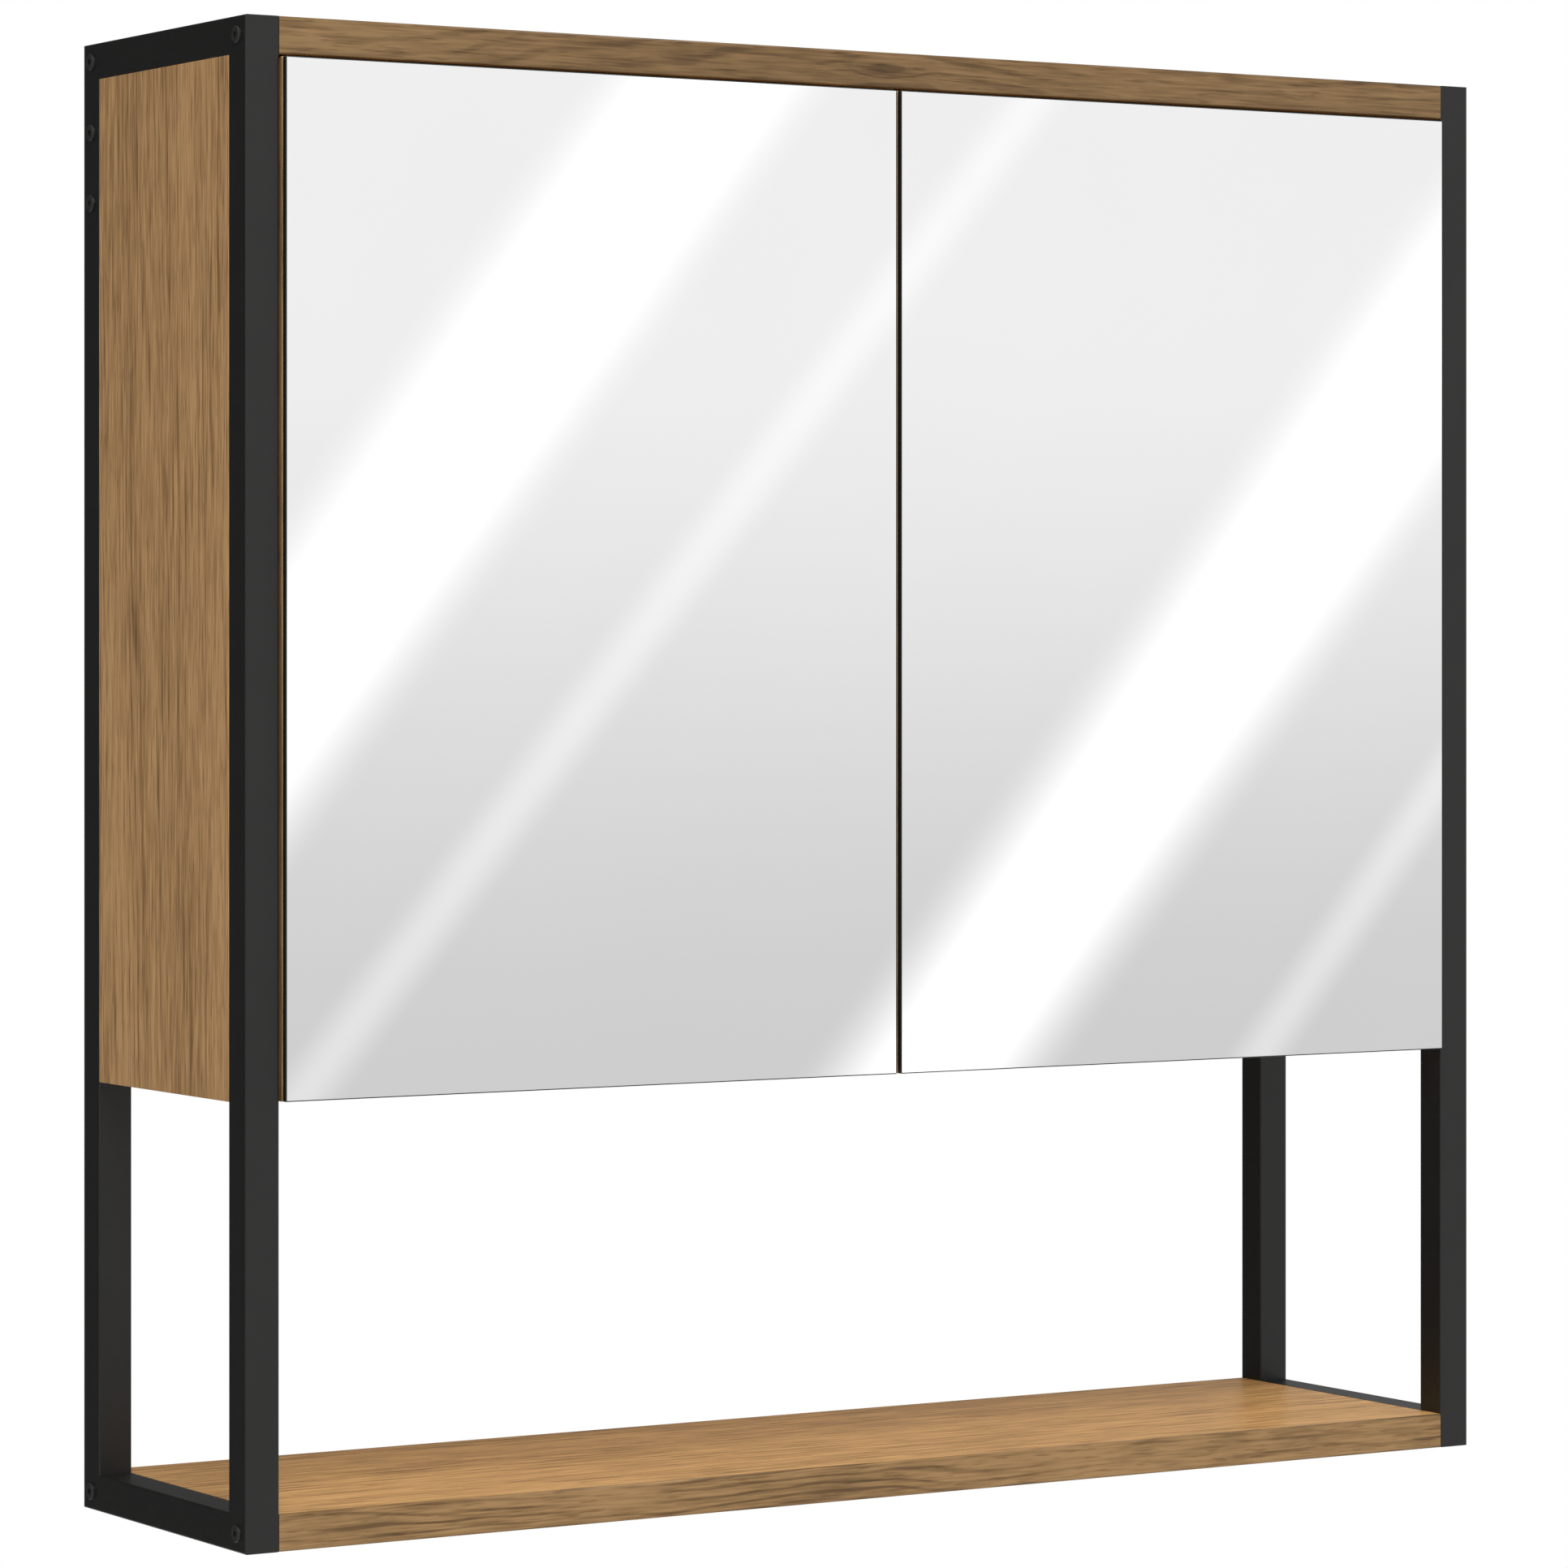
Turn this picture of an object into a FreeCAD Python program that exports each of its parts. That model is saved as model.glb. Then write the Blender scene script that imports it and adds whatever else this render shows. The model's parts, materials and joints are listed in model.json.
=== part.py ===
import FreeCAD, Part
import Sketcher
import os
import re

# Wall-hung bathroom cabinet with two mirror doors, in millimetres.
#
# Frame: the origin lies between the two wall screw holes, on the plane that touches the wall.
# +X points right, +Y into the wall, +Z up, so the doors face -Y.
# The left half is modelled, and the right half is its mirror image in the plane X = 0.

SIZES = {
    # the whole cabinet
    "width": 650.0,
    "height": 650.0,
    "depth": 161.5,
    # square steel tube of the side frames
    "tube": 16.0,
    "tube_wall": 1.5,
    "tube_corner": 0.8,
    # faced particle board
    "board": 16.0,
    "edge_band": 1.0,
    "body_rise": 190.0,
    "floor_setback": 1.5,
    # back panel and the rebates that hold it
    "back_sheet": 3.0,
    "rebate": 5.0,
    "rebate_play": 0.2,
    # hanging rail and wall holes
    "rail_height": 78.0,
    "rail_screw_pitch": 31.3,
    "wall_hole_spacing": 400.0,
    "wall_hole": 6.0,
    # frame screws: flat round heads with a hexagon socket
    "screw_shank": 4.0,
    "screw_length": 35.0,
    "screw_head": 7.4,
    "screw_head_height": 1.1,
    "screw_head_bevel": 0.35,
    "screw_socket": 2.9,
    "screw_socket_depth": 0.9,
    "screw_play": 0.4,
    # dowels between posts and side panels
    "dowel": 5.0,
    "dowel_bite": 12.0,
    "dowel_rise": 60.0,
    "dowel_cover": 0.5,
    # cam locks under the floor
    "cam": 15.0,
    "cam_height": 12.5,
    "cam_inset": 24.0,
    "cam_margin": 34.0,
    "bolt": 6.0,
    "bolt_bite": 10.0,
    "bolt_play": 0.2,
    # inner shelf and its pins
    "shelf_rise": 198.0,
    "shelf_setback": 28.0,
    "shelf_play": 1.0,
    "pin": 5.0,
    "pin_bite": 9.0,
    "pin_reach": 8.0,
    "pin_tongue": 1.5,
    "pin_tongue_width": 9.0,
    "pin_margin": 22.0,
    "pin_pitch": 32.0,
    # doors
    "side_gap": 1.4,
    "middle_gap": 2.2,
    "top_gap": 1.0,
    "door_drop": 0.5,
    "mirror": 3.0,
    "tape": 0.4,
    "tape_width": 25.0,
    "tape_margin": 12.0,
    "bumper": 8.0,
    "bumper_margin": 9.0,
    # concealed hinges: places are counted from the door's outer edge (_across), and from the door's back
    # either forwards into the door (_ahead) or away from it (_behind)
    "hinge_rise": 80.0,
    "arm_pin_across": 34.2,
    "arm_pin_ahead": 1.5,
    "cup_pin_across": 10.0,
    "cup_pin_ahead": 8.0,
    "hinge_pin": 2.2,
    "hinge_play": 0.1,
    "link": 4.6,
    "link_width": 6.0,
    "slot_width": 7.2,
    "slot_depth": 9.8,
    "cup": 35.0,
    "cup_depth": 11.5,
    "cup_across": 22.5,
    "cup_wall": 1.0,
    "trough": 15.0,
    "pin_grip": 2.0,
    "flange": 1.2,
    "flange_margin": 17.5,
    "flange_height": 58.0,
    "cup_screw_across": 32.0,
    "cup_screw_pitch": 45.0,
    "cup_screw": 3.5,
    "cup_screw_head": 6.5,
    "cup_screw_length": 12.0,
    # hinge arm: it rises out of the cup, leans over the door's edge and lies along the side panel
    "arm_sheet": 1.5,
    "arm_width": 13.2,
    "arm_nose": 3.8,
    "arm_tip": 2.8,
    "arm_lead": 4.0,
    "arm_mouth_behind": 2.0,
    "arm_throat_across": 9.0,
    "arm_throat_behind": 5.0,
    "arm_crook_behind": 4.5,
    "arm_shoulder_across": 5.5,
    "arm_shoulder_behind": 11.5,
    "arm_pit_behind": 8.5,
    "arm_bend_behind": 15.0,
    "arm_end_behind": 60.0,
    "arm_rise": 15.5,
    "arm_drop": 7.5,
    "plate_sheet": 2.0,
    "plate_behind": 40.0,
    "plate_wing": 20.0,
    "plate_height": 46.0,
    "plate_rib": 38.0,
    "plate_screw": 4.0,
    "plate_screw_head": 7.0,
    "plate_screw_pitch": 32.0,
    "plate_screw_length": 13.0,
    "arm_screw": 3.5,
    "arm_screw_head": 6.0,
    "arm_screw_length": 9.0,
    "low_head": 1.2,
}

doc = FreeCAD.newDocument("mirror_cabinet")
sheet = doc.addObject("Spreadsheet::Sheet", "Sizes")
for row, (alias, value) in enumerate(SIZES.items(), start=1):
    sheet.set(f"A{row}", alias)
    sheet.set(f"B{row}", str(value))
    sheet.setAlias(f"B{row}", alias)
doc.recompute()

# ---------------------------------------------------------------- places shared by several pieces
TOP = "(board + rail_height / 2)"
BASE = f"({TOP} - height)"
CEILING = f"({TOP} - board)"
BODY_BASE = f"({BASE} + body_rise)"
FLOOR_TOP = f"({BODY_BASE} + board)"
FRONT = "(0 - depth)"
BACK = "0"
OUTER = "(width / 2)"
INNER = "(width / 2 - tube)"
BACK_FACE = "(0 - tube - back_sheet)"
DOOR_BACK = f"({FRONT} + board)"
DOOR_OUTER = f"({INNER} - side_gap)"
DOOR_INNER = "(middle_gap / 2)"
DOOR_LOW = f"({BODY_BASE} + door_drop)"
DOOR_HIGH = f"({CEILING} - top_gap)"
FLOOR_FRONT = f"({DOOR_BACK} + floor_setback)"
SHELF_BASE = f"({FLOOR_TOP} + shelf_rise)"
SHELF_FRONT = f"({DOOR_BACK} + shelf_setback)"
SHELF_BACK = f"({BACK_FACE} - shelf_play)"
THREAD = "(screw_length - tube)"
RAIL_SCREWS = ["(rail_screw_pitch / 2)", "(0 - rail_screw_pitch / 2)"]


# ---------------------------------------------------------------- small builders
def bound(text):
    """Turn the aliases in an expression into references to the sheet."""
    return re.sub(r"[a-z][a-z_0-9]*", lambda word: f"Sizes.{word[0]}" if word[0] in SIZES else word[0], text)


def place(solid, **coordinates):
    """Bind the x, y and z of an object's place to expressions."""
    for axis, expression in coordinates.items():
        solid.setExpression(f"Placement.Base.{axis}", bound(expression))


def block(name, x, y, z):
    """Box between two expressions along each axis."""
    solid = doc.addObject("Part::Box", name)
    for side, (low, high) in zip(("Length", "Width", "Height"), (x, y, z)):
        solid.setExpression(side, bound(f"({high}) - ({low})"))
    place(solid, x=x[0], y=y[0], z=z[0])
    return solid


TURNS = {
    "x": FreeCAD.Rotation(FreeCAD.Vector(0, 1, 0), 90),
    "y": FreeCAD.Rotation(FreeCAD.Vector(1, 0, 0), -90),
    "z": FreeCAD.Rotation(),
}


def along(solid, axis, span, centre):
    """Lay a turned solid along an axis, over a span of it, through a centre on the other two axes."""
    solid.Placement.Rotation = TURNS[axis]
    others = [letter for letter in "xyz" if letter != axis]
    place(solid, **{axis: span[0], others[0]: centre[0], others[1]: centre[1]})
    solid.setExpression("Height", bound(f"({span[1]}) - ({span[0]})"))
    return solid


def rod(name, axis, span, centre, diameter):
    """Cylinder along an axis between two expressions."""
    solid = doc.addObject("Part::Cylinder", name)
    solid.setExpression("Radius", bound(f"({diameter}) / 2"))
    return along(solid, axis, span, centre)


def taper(name, axis, span, centre, start, end):
    """Cone along an axis, with a diameter at each end of the span."""
    solid = doc.addObject("Part::Cone", name)
    solid.setExpression("Radius1", bound(f"({start}) / 2"))
    solid.setExpression("Radius2", bound(f"({end}) / 2"))
    return along(solid, axis, span, centre)


def hexagon(name, axis, span, centre, corners):
    """Hexagonal prism along an axis, sized across its corners."""
    solid = doc.addObject("Part::Prism", name)
    solid.Polygon = 6
    solid.setExpression("Circumradius", bound(f"({corners}) / 2"))
    return along(solid, axis, span, centre)


def join(name, pieces):
    """Fuse touching solids into one."""
    solid = doc.addObject("Part::MultiFuse", name)
    solid.Shapes = pieces
    return solid


def group(name, pieces):
    """Keep separate solids together in one object."""
    pack = doc.addObject("Part::Compound", name)
    pack.Links = pieces
    return pack


def cut(name, base, tools):
    """Take the tools away from the base."""
    solid = doc.addObject("Part::Cut", name)
    solid.Base = base
    solid.Tool = tools[0] if len(tools) == 1 else group(f"{name}_tools", tools)
    return solid


def cut_in_turn(name, base, tools):
    """Take the tools away one after another, which also holds where they overlap each other."""
    for number, tool in enumerate(tools):
        base = cut(f"{name}_cut_{number}", base, [tool])
    return base


def mirrored(name, source):
    """Mirror image in the plane X = 0."""
    image = doc.addObject("Part::Mirroring", name)
    image.Source = source
    image.Normal = FreeCAD.Vector(1, 0, 0)
    return image


def both_sides(name, left):
    """Left pieces and their mirror images, as one node."""
    right = [mirrored(f"{name}_image_{number}", piece) for number, piece in enumerate(left)]
    return group(name, left + right)


def outline(name, points, low, high):
    """Straight-sided outline in the X-Y plane, carried from one height to another.

    Each corner is a pair of expressions, and each is held by two distances from the sketch's origin.
    """
    drawing = doc.addObject("Sketcher::SketchObject", f"{name}_outline")
    count = len(points)
    for number in range(count):
        start, end = FreeCAD.Vector(number, 0, 0), FreeCAD.Vector(number + 1, 1, 0)
        drawing.addGeometry(Part.LineSegment(start, end), False)
    for number in range(count):
        drawing.addConstraint(Sketcher.Constraint("Coincident", number, 2, (number + 1) % count, 1))
    for number, (x, y) in enumerate(points):
        for kind, expression in (("DistanceX", x), ("DistanceY", y)):
            place_held = drawing.addConstraint(Sketcher.Constraint(kind, -1, 1, number, 1, 1.0))
            drawing.setExpression(f"Constraints[{place_held}]", bound(expression))
    solid = doc.addObject("Part::Extrusion", name)
    solid.Base = drawing
    solid.DirMode = "Custom"
    solid.Dir = FreeCAD.Vector(0, 0, 1)
    solid.Solid = True
    solid.setExpression("LengthFwd", bound(f"({high}) - ({low})"))
    place(drawing, z=low)
    return solid


NODES = {}


def node(name, solid):
    """Name a finished piece."""
    solid.Label = name
    NODES[name] = solid
    return solid


# ---------------------------------------------------------------- side frames
def long_edges(solid, radius):
    """The edges of a solid that run along Z, as a fillet wants them."""
    doc.recompute()
    chosen = []
    for number, edge in enumerate(solid.Shape.Edges, start=1):
        if abs(edge.tangentAt(edge.FirstParameter).z) > 0.999:
            chosen.append((number, radius, radius))
    return chosen


def frame_bar(name, length, turn, base, cross_holes, dowel_holes=()):
    """Mitred square tube: its outer face, on Y = 0, is full length, and its inner face is two tubes shorter.

    cross_holes are (y, z) centres of holes along X, dowel_holes (x, z) centres of holes in the inner wall.
    """
    bar = doc.addObject("Part::Wedge", f"{name}_bar")
    for field, expression in {
        "Xmin": "0", "X2min": "0", "Xmax": "tube", "X2max": "tube",
        "Ymin": "0", "Ymax": "tube",
        "Zmin": "0", "Zmax": length, "Z2min": "tube", "Z2max": f"({length}) - tube",
    }.items():
        bar.setExpression(field, bound(expression))
    rounded = doc.addObject("Part::Fillet", f"{name}_rounded")
    rounded.Base = bar
    rounded.Edges = long_edges(bar, sheet.tube_corner)
    wall = ("tube_wall", "tube - tube_wall")
    past = ("0 - tube", f"({length}) + tube")
    tools = [block(f"{name}_bore", wall, wall, past)]
    for number, (y, z) in enumerate(cross_holes):
        through = ("0 - tube", "2 * tube")
        tools.append(rod(f"{name}_hole_{number}", "x", through, (y, z), "screw_shank + screw_play"))
    for number, centre in enumerate(dowel_holes):
        inner_wall = ("tube / 2", "2 * tube")
        tools.append(rod(f"{name}_dowel_hole_{number}", "y", inner_wall, centre, "dowel"))
    solid = cut_in_turn(name, rounded, tools)
    solid.Placement.Rotation = turn
    place(solid, x=base[0], y=base[1], z=base[2])
    return node(name, solid)


UPRIGHT = FreeCAD.Rotation()
ABOUT = FreeCAD.Rotation(FreeCAD.Vector(0, 0, 1), 180)
OUTER_FACE_UP = FreeCAD.Rotation(FreeCAD.Vector(1, 0, 0), -90)
OUTER_FACE_DOWN = FreeCAD.Rotation(FreeCAD.Vector(1, 0, 0), 90)

LEFT = f"(0 - {OUTER})"
LEFT_INNER = f"(0 - {INNER})"
SHELF_SCREW = "board / 2"
TOP_SCREW = "height - board / 2"
POST_SCREWS = [("tube / 2", SHELF_SCREW), ("tube / 2", TOP_SCREW)]
REAR_SCREWS = POST_SCREWS + [("tube / 2", f"{screw} - {BASE}") for screw in RAIL_SCREWS]
RAIL_ENDS = [("board / 2", "tube / 2"), ("board / 2", "depth - tube / 2")]
DOWEL_HEIGHTS = [f"({BODY_BASE} + dowel_rise)", f"({CEILING} - dowel_rise)"]
DOWEL_DEEP = "(rebate + dowel_cover + dowel / 2)"
FRONT_DOWELS = [(f"tube - {DOWEL_DEEP}", f"{rise} - {BASE}") for rise in DOWEL_HEIGHTS]
REAR_DOWELS = [(DOWEL_DEEP, f"{rise} - {BASE}") for rise in DOWEL_HEIGHTS]

left_frame = [
    frame_bar("left_front_post", "height", UPRIGHT, (LEFT, FRONT, BASE), POST_SCREWS, FRONT_DOWELS),
    frame_bar("left_rear_post", "height", ABOUT, (LEFT_INNER, BACK, BASE), REAR_SCREWS, REAR_DOWELS),
    frame_bar("left_top_rail", "depth", OUTER_FACE_UP, (LEFT, FRONT, TOP), RAIL_ENDS),
    frame_bar("left_bottom_rail", "depth", OUTER_FACE_DOWN, (LEFT, BACK, BASE), RAIL_ENDS),
]


# ---------------------------------------------------------------- boards
FRONT_SCREW = "(tube / 2 - depth)"
REAR_SCREW = "(0 - tube / 2)"
SHELF_SCREW_HEIGHT = f"({BASE} + {SHELF_SCREW})"
TOP_SCREW_HEIGHT = f"({BASE} + {TOP_SCREW})"
FRAME_SCREWS = {
    "top_board": [(FRONT_SCREW, TOP_SCREW_HEIGHT), (REAR_SCREW, TOP_SCREW_HEIGHT)],
    "hanging_rail": [(REAR_SCREW, screw) for screw in RAIL_SCREWS],
    "open_shelf": [(FRONT_SCREW, SHELF_SCREW_HEIGHT), (REAR_SCREW, SHELF_SCREW_HEIGHT)],
}


def end_holes(name):
    """Holes of the frame screws in both ends of a board that spans the clear width."""
    left = [
        rod(f"{name}_end_hole_{number}", "x", (LEFT, f"{LEFT_INNER} + {THREAD}"), centre, "screw_shank")
        for number, centre in enumerate(FRAME_SCREWS[name])
    ]
    return left + [mirrored(f"{name}_end_hole_image_{number}", hole) for number, hole in enumerate(left)]


def band(name, y_front, z):
    """Edge band along the front of a board."""
    return node(name, block(name, (LEFT_INNER, INNER), (y_front, f"{y_front} + edge_band"), z))


top_blank = block("top_blank", (LEFT_INNER, INNER), (f"{FRONT} + edge_band", BACK), (CEILING, TOP))
node("top_board", cut("top_board", top_blank, end_holes("top_board")))
band("top_board_edging", FRONT, (CEILING, TOP))

OPEN_SHELF_Z = (BASE, f"{BASE} + board")
shelf_blank = block("open_shelf_blank", (LEFT_INNER, INNER), (f"{FRONT} + edge_band", BACK), OPEN_SHELF_Z)
node("open_shelf", cut("open_shelf", shelf_blank, end_holes("open_shelf")))
band("open_shelf_edging", FRONT, OPEN_SHELF_Z)

# the hanging rail fills the depth of the rear posts, and its centre line carries the wall screws
RAIL_Z = ("0 - rail_height / 2", CEILING)
rail_blank = block("hanging_rail_blank", (LEFT_INNER, INNER), ("0 - tube", BACK), RAIL_Z)
WALL_HOLES = ["0 - wall_hole_spacing / 2", "wall_hole_spacing / 2"]
THROUGH_BACK = (f"{BACK_FACE} - tube", "tube")
wall_tools = [
    rod(f"wall_hole_{number}", "y", THROUGH_BACK, (x, "0"), "wall_hole")
    for number, x in enumerate(WALL_HOLES)
]
node("hanging_rail", cut("hanging_rail", rail_blank, end_holes("hanging_rail") + wall_tools))

# the back panel reaches into the side panels, and covers the back of the floor
panel_blank = block(
    "back_panel_blank",
    (f"{LEFT_INNER} - rebate + rebate_play", f"{INNER} + rebate - rebate_play"),
    (BACK_FACE, "0 - tube"),
    (BODY_BASE, f"{TOP} - max(board; tube) - rebate_play"),
)
panel_holes = [
    rod(f"back_panel_hole_{number}", "y", THROUGH_BACK, (x, "0"), "wall_hole")
    for number, x in enumerate(WALL_HOLES)
]
node("back_panel", cut("back_panel", panel_blank, panel_holes))

# floor of the closed body, held by cam locks let into its underside
CAM_ROWS = [f"({FLOOR_FRONT} + cam_margin)", f"({BACK_FACE} - cam_margin)"]
BOLT_HEIGHT = f"({BODY_BASE} + board / 2)"
CAM_X = f"({LEFT_INNER} + cam_inset)"


def bolt_rod(name, row, start, end, play="0"):
    """Rod along X at the middle of the floor's thickness."""
    return rod(name, "x", (start, end), (row, BOLT_HEIGHT), f"bolt + {play}")


floor_blank = block(
    "floor_blank", (LEFT_INNER, INNER), (f"{FLOOR_FRONT} + edge_band", BACK_FACE), (BODY_BASE, FLOOR_TOP),
)
floor_left = []
cams = []
bolts = []
for number, row in enumerate(CAM_ROWS):
    seat = (f"{BODY_BASE} - board", f"{BODY_BASE} + cam_height")
    floor_left.append(rod(f"cam_seat_{number}", "z", seat, (CAM_X, row), "cam"))
    floor_left.append(bolt_rod(f"bolt_way_{number}", row, f"{LEFT_INNER} - board", CAM_X, "bolt_play"))
    cam_span = (BODY_BASE, f"{BODY_BASE} + cam_height")
    cam_blank = rod(f"cam_blank_{number}", "z", cam_span, (CAM_X, row), "cam")
    cam_way = bolt_rod(f"cam_way_{number}", row, f"{LEFT_INNER} - board", CAM_X, "bolt_play")
    cams.append(cut(f"cam_{number}", cam_blank, [cam_way]))
    bolts.append(bolt_rod(f"bolt_{number}", row, f"{LEFT_INNER} - bolt_bite", f"{CAM_X} - bolt_play"))
floor_right = [mirrored(f"floor_tool_image_{number}", tool) for number, tool in enumerate(floor_left)]
node("cabinet_floor", cut("cabinet_floor", floor_blank, floor_left + floor_right))
band("cabinet_floor_edging", FLOOR_FRONT, (BODY_BASE, FLOOR_TOP))
node("floor_cams", both_sides("floor_cams", cams))
node("floor_cam_bolts", both_sides("floor_cam_bolts", bolts))

# inner shelf on four pins
SHELF_ENDS = (f"{LEFT_INNER} + shelf_play", f"{INNER} - shelf_play")
SHELF_SPAN = (SHELF_BASE, f"{SHELF_BASE} + board")
node("inner_shelf", block("inner_shelf", SHELF_ENDS, (f"{SHELF_FRONT} + edge_band", SHELF_BACK), SHELF_SPAN))
node("inner_shelf_edging", block(
    "inner_shelf_edging", SHELF_ENDS, (SHELF_FRONT, f"{SHELF_FRONT} + edge_band"), SHELF_SPAN,
))
PIN_ROWS = [f"({SHELF_FRONT} + pin_margin)", f"({SHELF_BACK} - pin_margin)"]
PIN_HEIGHT = f"({SHELF_BASE} - pin_tongue - pin / 2)"
pins = []
PIN_SPAN = (f"{LEFT_INNER} - pin_bite", f"{LEFT_INNER} + pin_reach")
for number, row in enumerate(PIN_ROWS):
    peg = rod(f"peg_{number}", "x", PIN_SPAN, (row, PIN_HEIGHT), "pin")
    tongue = block(
        f"tongue_{number}", (LEFT_INNER, f"{LEFT_INNER} + pin_reach"),
        (f"{row} - pin_tongue_width / 2", f"{row} + pin_tongue_width / 2"),
        (f"{SHELF_BASE} - pin_tongue - pin / 4", SHELF_BASE),
    )
    pins.append(join(f"shelf_pin_{number}", [peg, tongue]))
node("shelf_pins", both_sides("shelf_pins", pins))

# places of the left door's two hinges
DOOR_EDGE = f"(0 - {DOOR_OUTER})"
HINGES = [f"({DOOR_LOW} + hinge_rise)", f"({DOOR_HIGH} - hinge_rise)"]
PLATE_Y = f"({DOOR_BACK} + plate_behind)"


def plate_screw_heights(rise):
    """Heights of the two screws of a mounting plate."""
    return [f"{rise} - plate_screw_pitch / 2", f"{rise} + plate_screw_pitch / 2"]


# side panels: flush with the tubes on both faces
panel_blank = block(
    "side_panel_blank", (LEFT, LEFT_INNER), (f"{FRONT} + tube", "0 - tube"), (BODY_BASE, f"{TOP} - tube"),
)
side_tools = [block(
    "side_rebate", (f"{LEFT_INNER} - rebate", f"{LEFT_INNER} + tube"),
    (f"{BACK_FACE} - rebate_play", "0"), (f"{BODY_BASE} - board", f"{CEILING} + board"),
)]
for number, row in enumerate(CAM_ROWS):
    side_tools.append(bolt_rod(f"side_bolt_hole_{number}", row, f"{LEFT_INNER} - bolt_bite", CAM_X))
for number, row in enumerate(PIN_ROWS):
    for step in (-1, 0, 1):
        hole = rod(
            f"side_pin_hole_{number}_{step + 1}", "x", (f"{LEFT_INNER} - pin_bite - shelf_play", INNER),
            (row, f"{PIN_HEIGHT} + {step} * pin_pitch"), "pin",
        )
        side_tools.append(hole)
dowels = []
FRONT_DOWEL = (f"{FRONT} + tube / 2", f"{FRONT} + tube + dowel_bite")
REAR_DOWEL = ("0 - tube - dowel_bite", "0 - tube / 2")
for number, rise in enumerate(DOWEL_HEIGHTS):
    for end, span in (("front", FRONT_DOWEL), ("rear", REAR_DOWEL)):
        middle = (f"{LEFT_INNER} - {DOWEL_DEEP}", rise)
        side_tools.append(rod(f"side_dowel_hole_{end}_{number}", "y", span, middle, "dowel"))
        dowels.append(rod(f"side_dowel_{end}_{number}", "y", span, middle, "dowel"))
for number, rise in enumerate(HINGES):
    for end, z in enumerate(plate_screw_heights(rise)):
        span = (LEFT_INNER, f"{LEFT_INNER} + plate_sheet - plate_screw_length")
        hole = rod(f"side_plate_hole_{number}_{end}", "x", (span[1], span[0]), (PLATE_Y, z), "plate_screw")
        side_tools.append(hole)
left_side_panel = node("left_side_panel", cut("left_side_panel", panel_blank, side_tools))
left_dowels = node("left_panel_dowels", group("left_panel_dowels", dowels))


# ---------------------------------------------------------------- frame screws
def frame_screw(name, y, z):
    """Screw from the left: bevelled flat head on the tube, shank along +X, hexagon socket in the head."""
    rim = f"({LEFT} - screw_head_height)"
    shoulder = f"({rim} + screw_head_bevel)"
    face = "screw_head - 2 * screw_head_bevel"
    bevel = taper(f"{name}_bevel", "x", (rim, shoulder), (y, z), face, "screw_head")
    head = rod(f"{name}_head", "x", (shoulder, LEFT), (y, z), "screw_head")
    shank = rod(f"{name}_shank", "x", (LEFT, f"{LEFT} + screw_length"), (y, z), "screw_shank")
    deep = (f"{rim} - screw_head_height", f"{rim} + screw_socket_depth")
    socket = hexagon(f"{name}_socket", "x", deep, (y, z), "screw_socket")
    return cut(name, join(f"{name}_blank", [bevel, head, shank]), [socket])


for board_name, centres in FRAME_SCREWS.items():
    screws = [frame_screw(f"{board_name}_screw_{number}", y, z) for number, (y, z) in enumerate(centres)]
    node(f"{board_name}_screws", both_sides(f"{board_name}_screws", screws))


# ---------------------------------------------------------------- places on the left door
def across(u):
    """X of a place counted from the outer edge of the left door."""
    return f"({DOOR_EDGE} + {u})"


def behind(v):
    """Y of a place counted from the back of the door, away from the mirror."""
    return f"({DOOR_BACK} + {v})"


def about(middle, width):
    """Span of a width about a middle."""
    return (f"{middle} - ({width}) / 2", f"{middle} + ({width}) / 2")


DOOR_X = (DOOR_EDGE, f"0 - {DOOR_INNER}")
DOOR_Z = (DOOR_LOW, DOOR_HIGH)
CUP_CENTRE = across("cup_across")
CUP_FLOOR = f"({DOOR_BACK} - cup_depth)"
FLANGE_FACE = behind("flange")
PAST_DOOR = behind("board")
ARM_PIN = (across("arm_pin_across"), f"({DOOR_BACK} - arm_pin_ahead)")
CUP_PIN = (across("cup_pin_across"), f"({DOOR_BACK} - cup_pin_ahead)")
CUP_PIN_LENGTH = "trough + 2 * pin_grip"
CUP_SCREW_X = across("cup_screw_across")
CUP_SCREW_SPAN = (f"({FLANGE_FACE} - cup_screw_length)", FLANGE_FACE)
PLATE_FACE = f"({LEFT_INNER} + plate_sheet)"
PLATE_SCREW_SPAN = (f"({PLATE_FACE} - plate_screw_length)", PLATE_FACE)
ARM_FACE = across("arm_rise")
ARM_SCREW_TIP = across("arm_rise - arm_screw_length")
PAST_ARM = across("2 * arm_rise")


# ---------------------------------------------------------------- pieces of one concealed hinge
def link_slot(name, rise):
    """Slot that lets the hinge link swing past the outer edge of the door."""
    ahead = (f"{DOOR_BACK} - slot_depth", PAST_DOOR)
    return block(name, (f"{DOOR_EDGE} - side_gap", CUP_CENTRE), ahead, about(rise, "slot_width"))


def cup_screw_holes(name, rise, deep_end):
    """Holes of the two cup screws, from the screws' tips to a chosen depth."""
    return [
        rod(f"{name}_{end}", "y", (CUP_SCREW_SPAN[0], deep_end), (CUP_SCREW_X, z), "cup_screw")
        for end, z in enumerate(about(rise, "cup_screw_pitch"))
    ]


def door_recess(tag, rise):
    """What a hinge needs cut into the door: the cup's seat, the link's slot and two screw holes."""
    seat = rod(f"cup_seat_{tag}", "y", (CUP_FLOOR, PAST_DOOR), (CUP_CENTRE, rise), "cup")
    screw_holes = cup_screw_holes(f"door_screw_hole_{tag}", rise, FLANGE_FACE)
    return [seat, link_slot(f"door_slot_{tag}", rise)] + screw_holes


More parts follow.
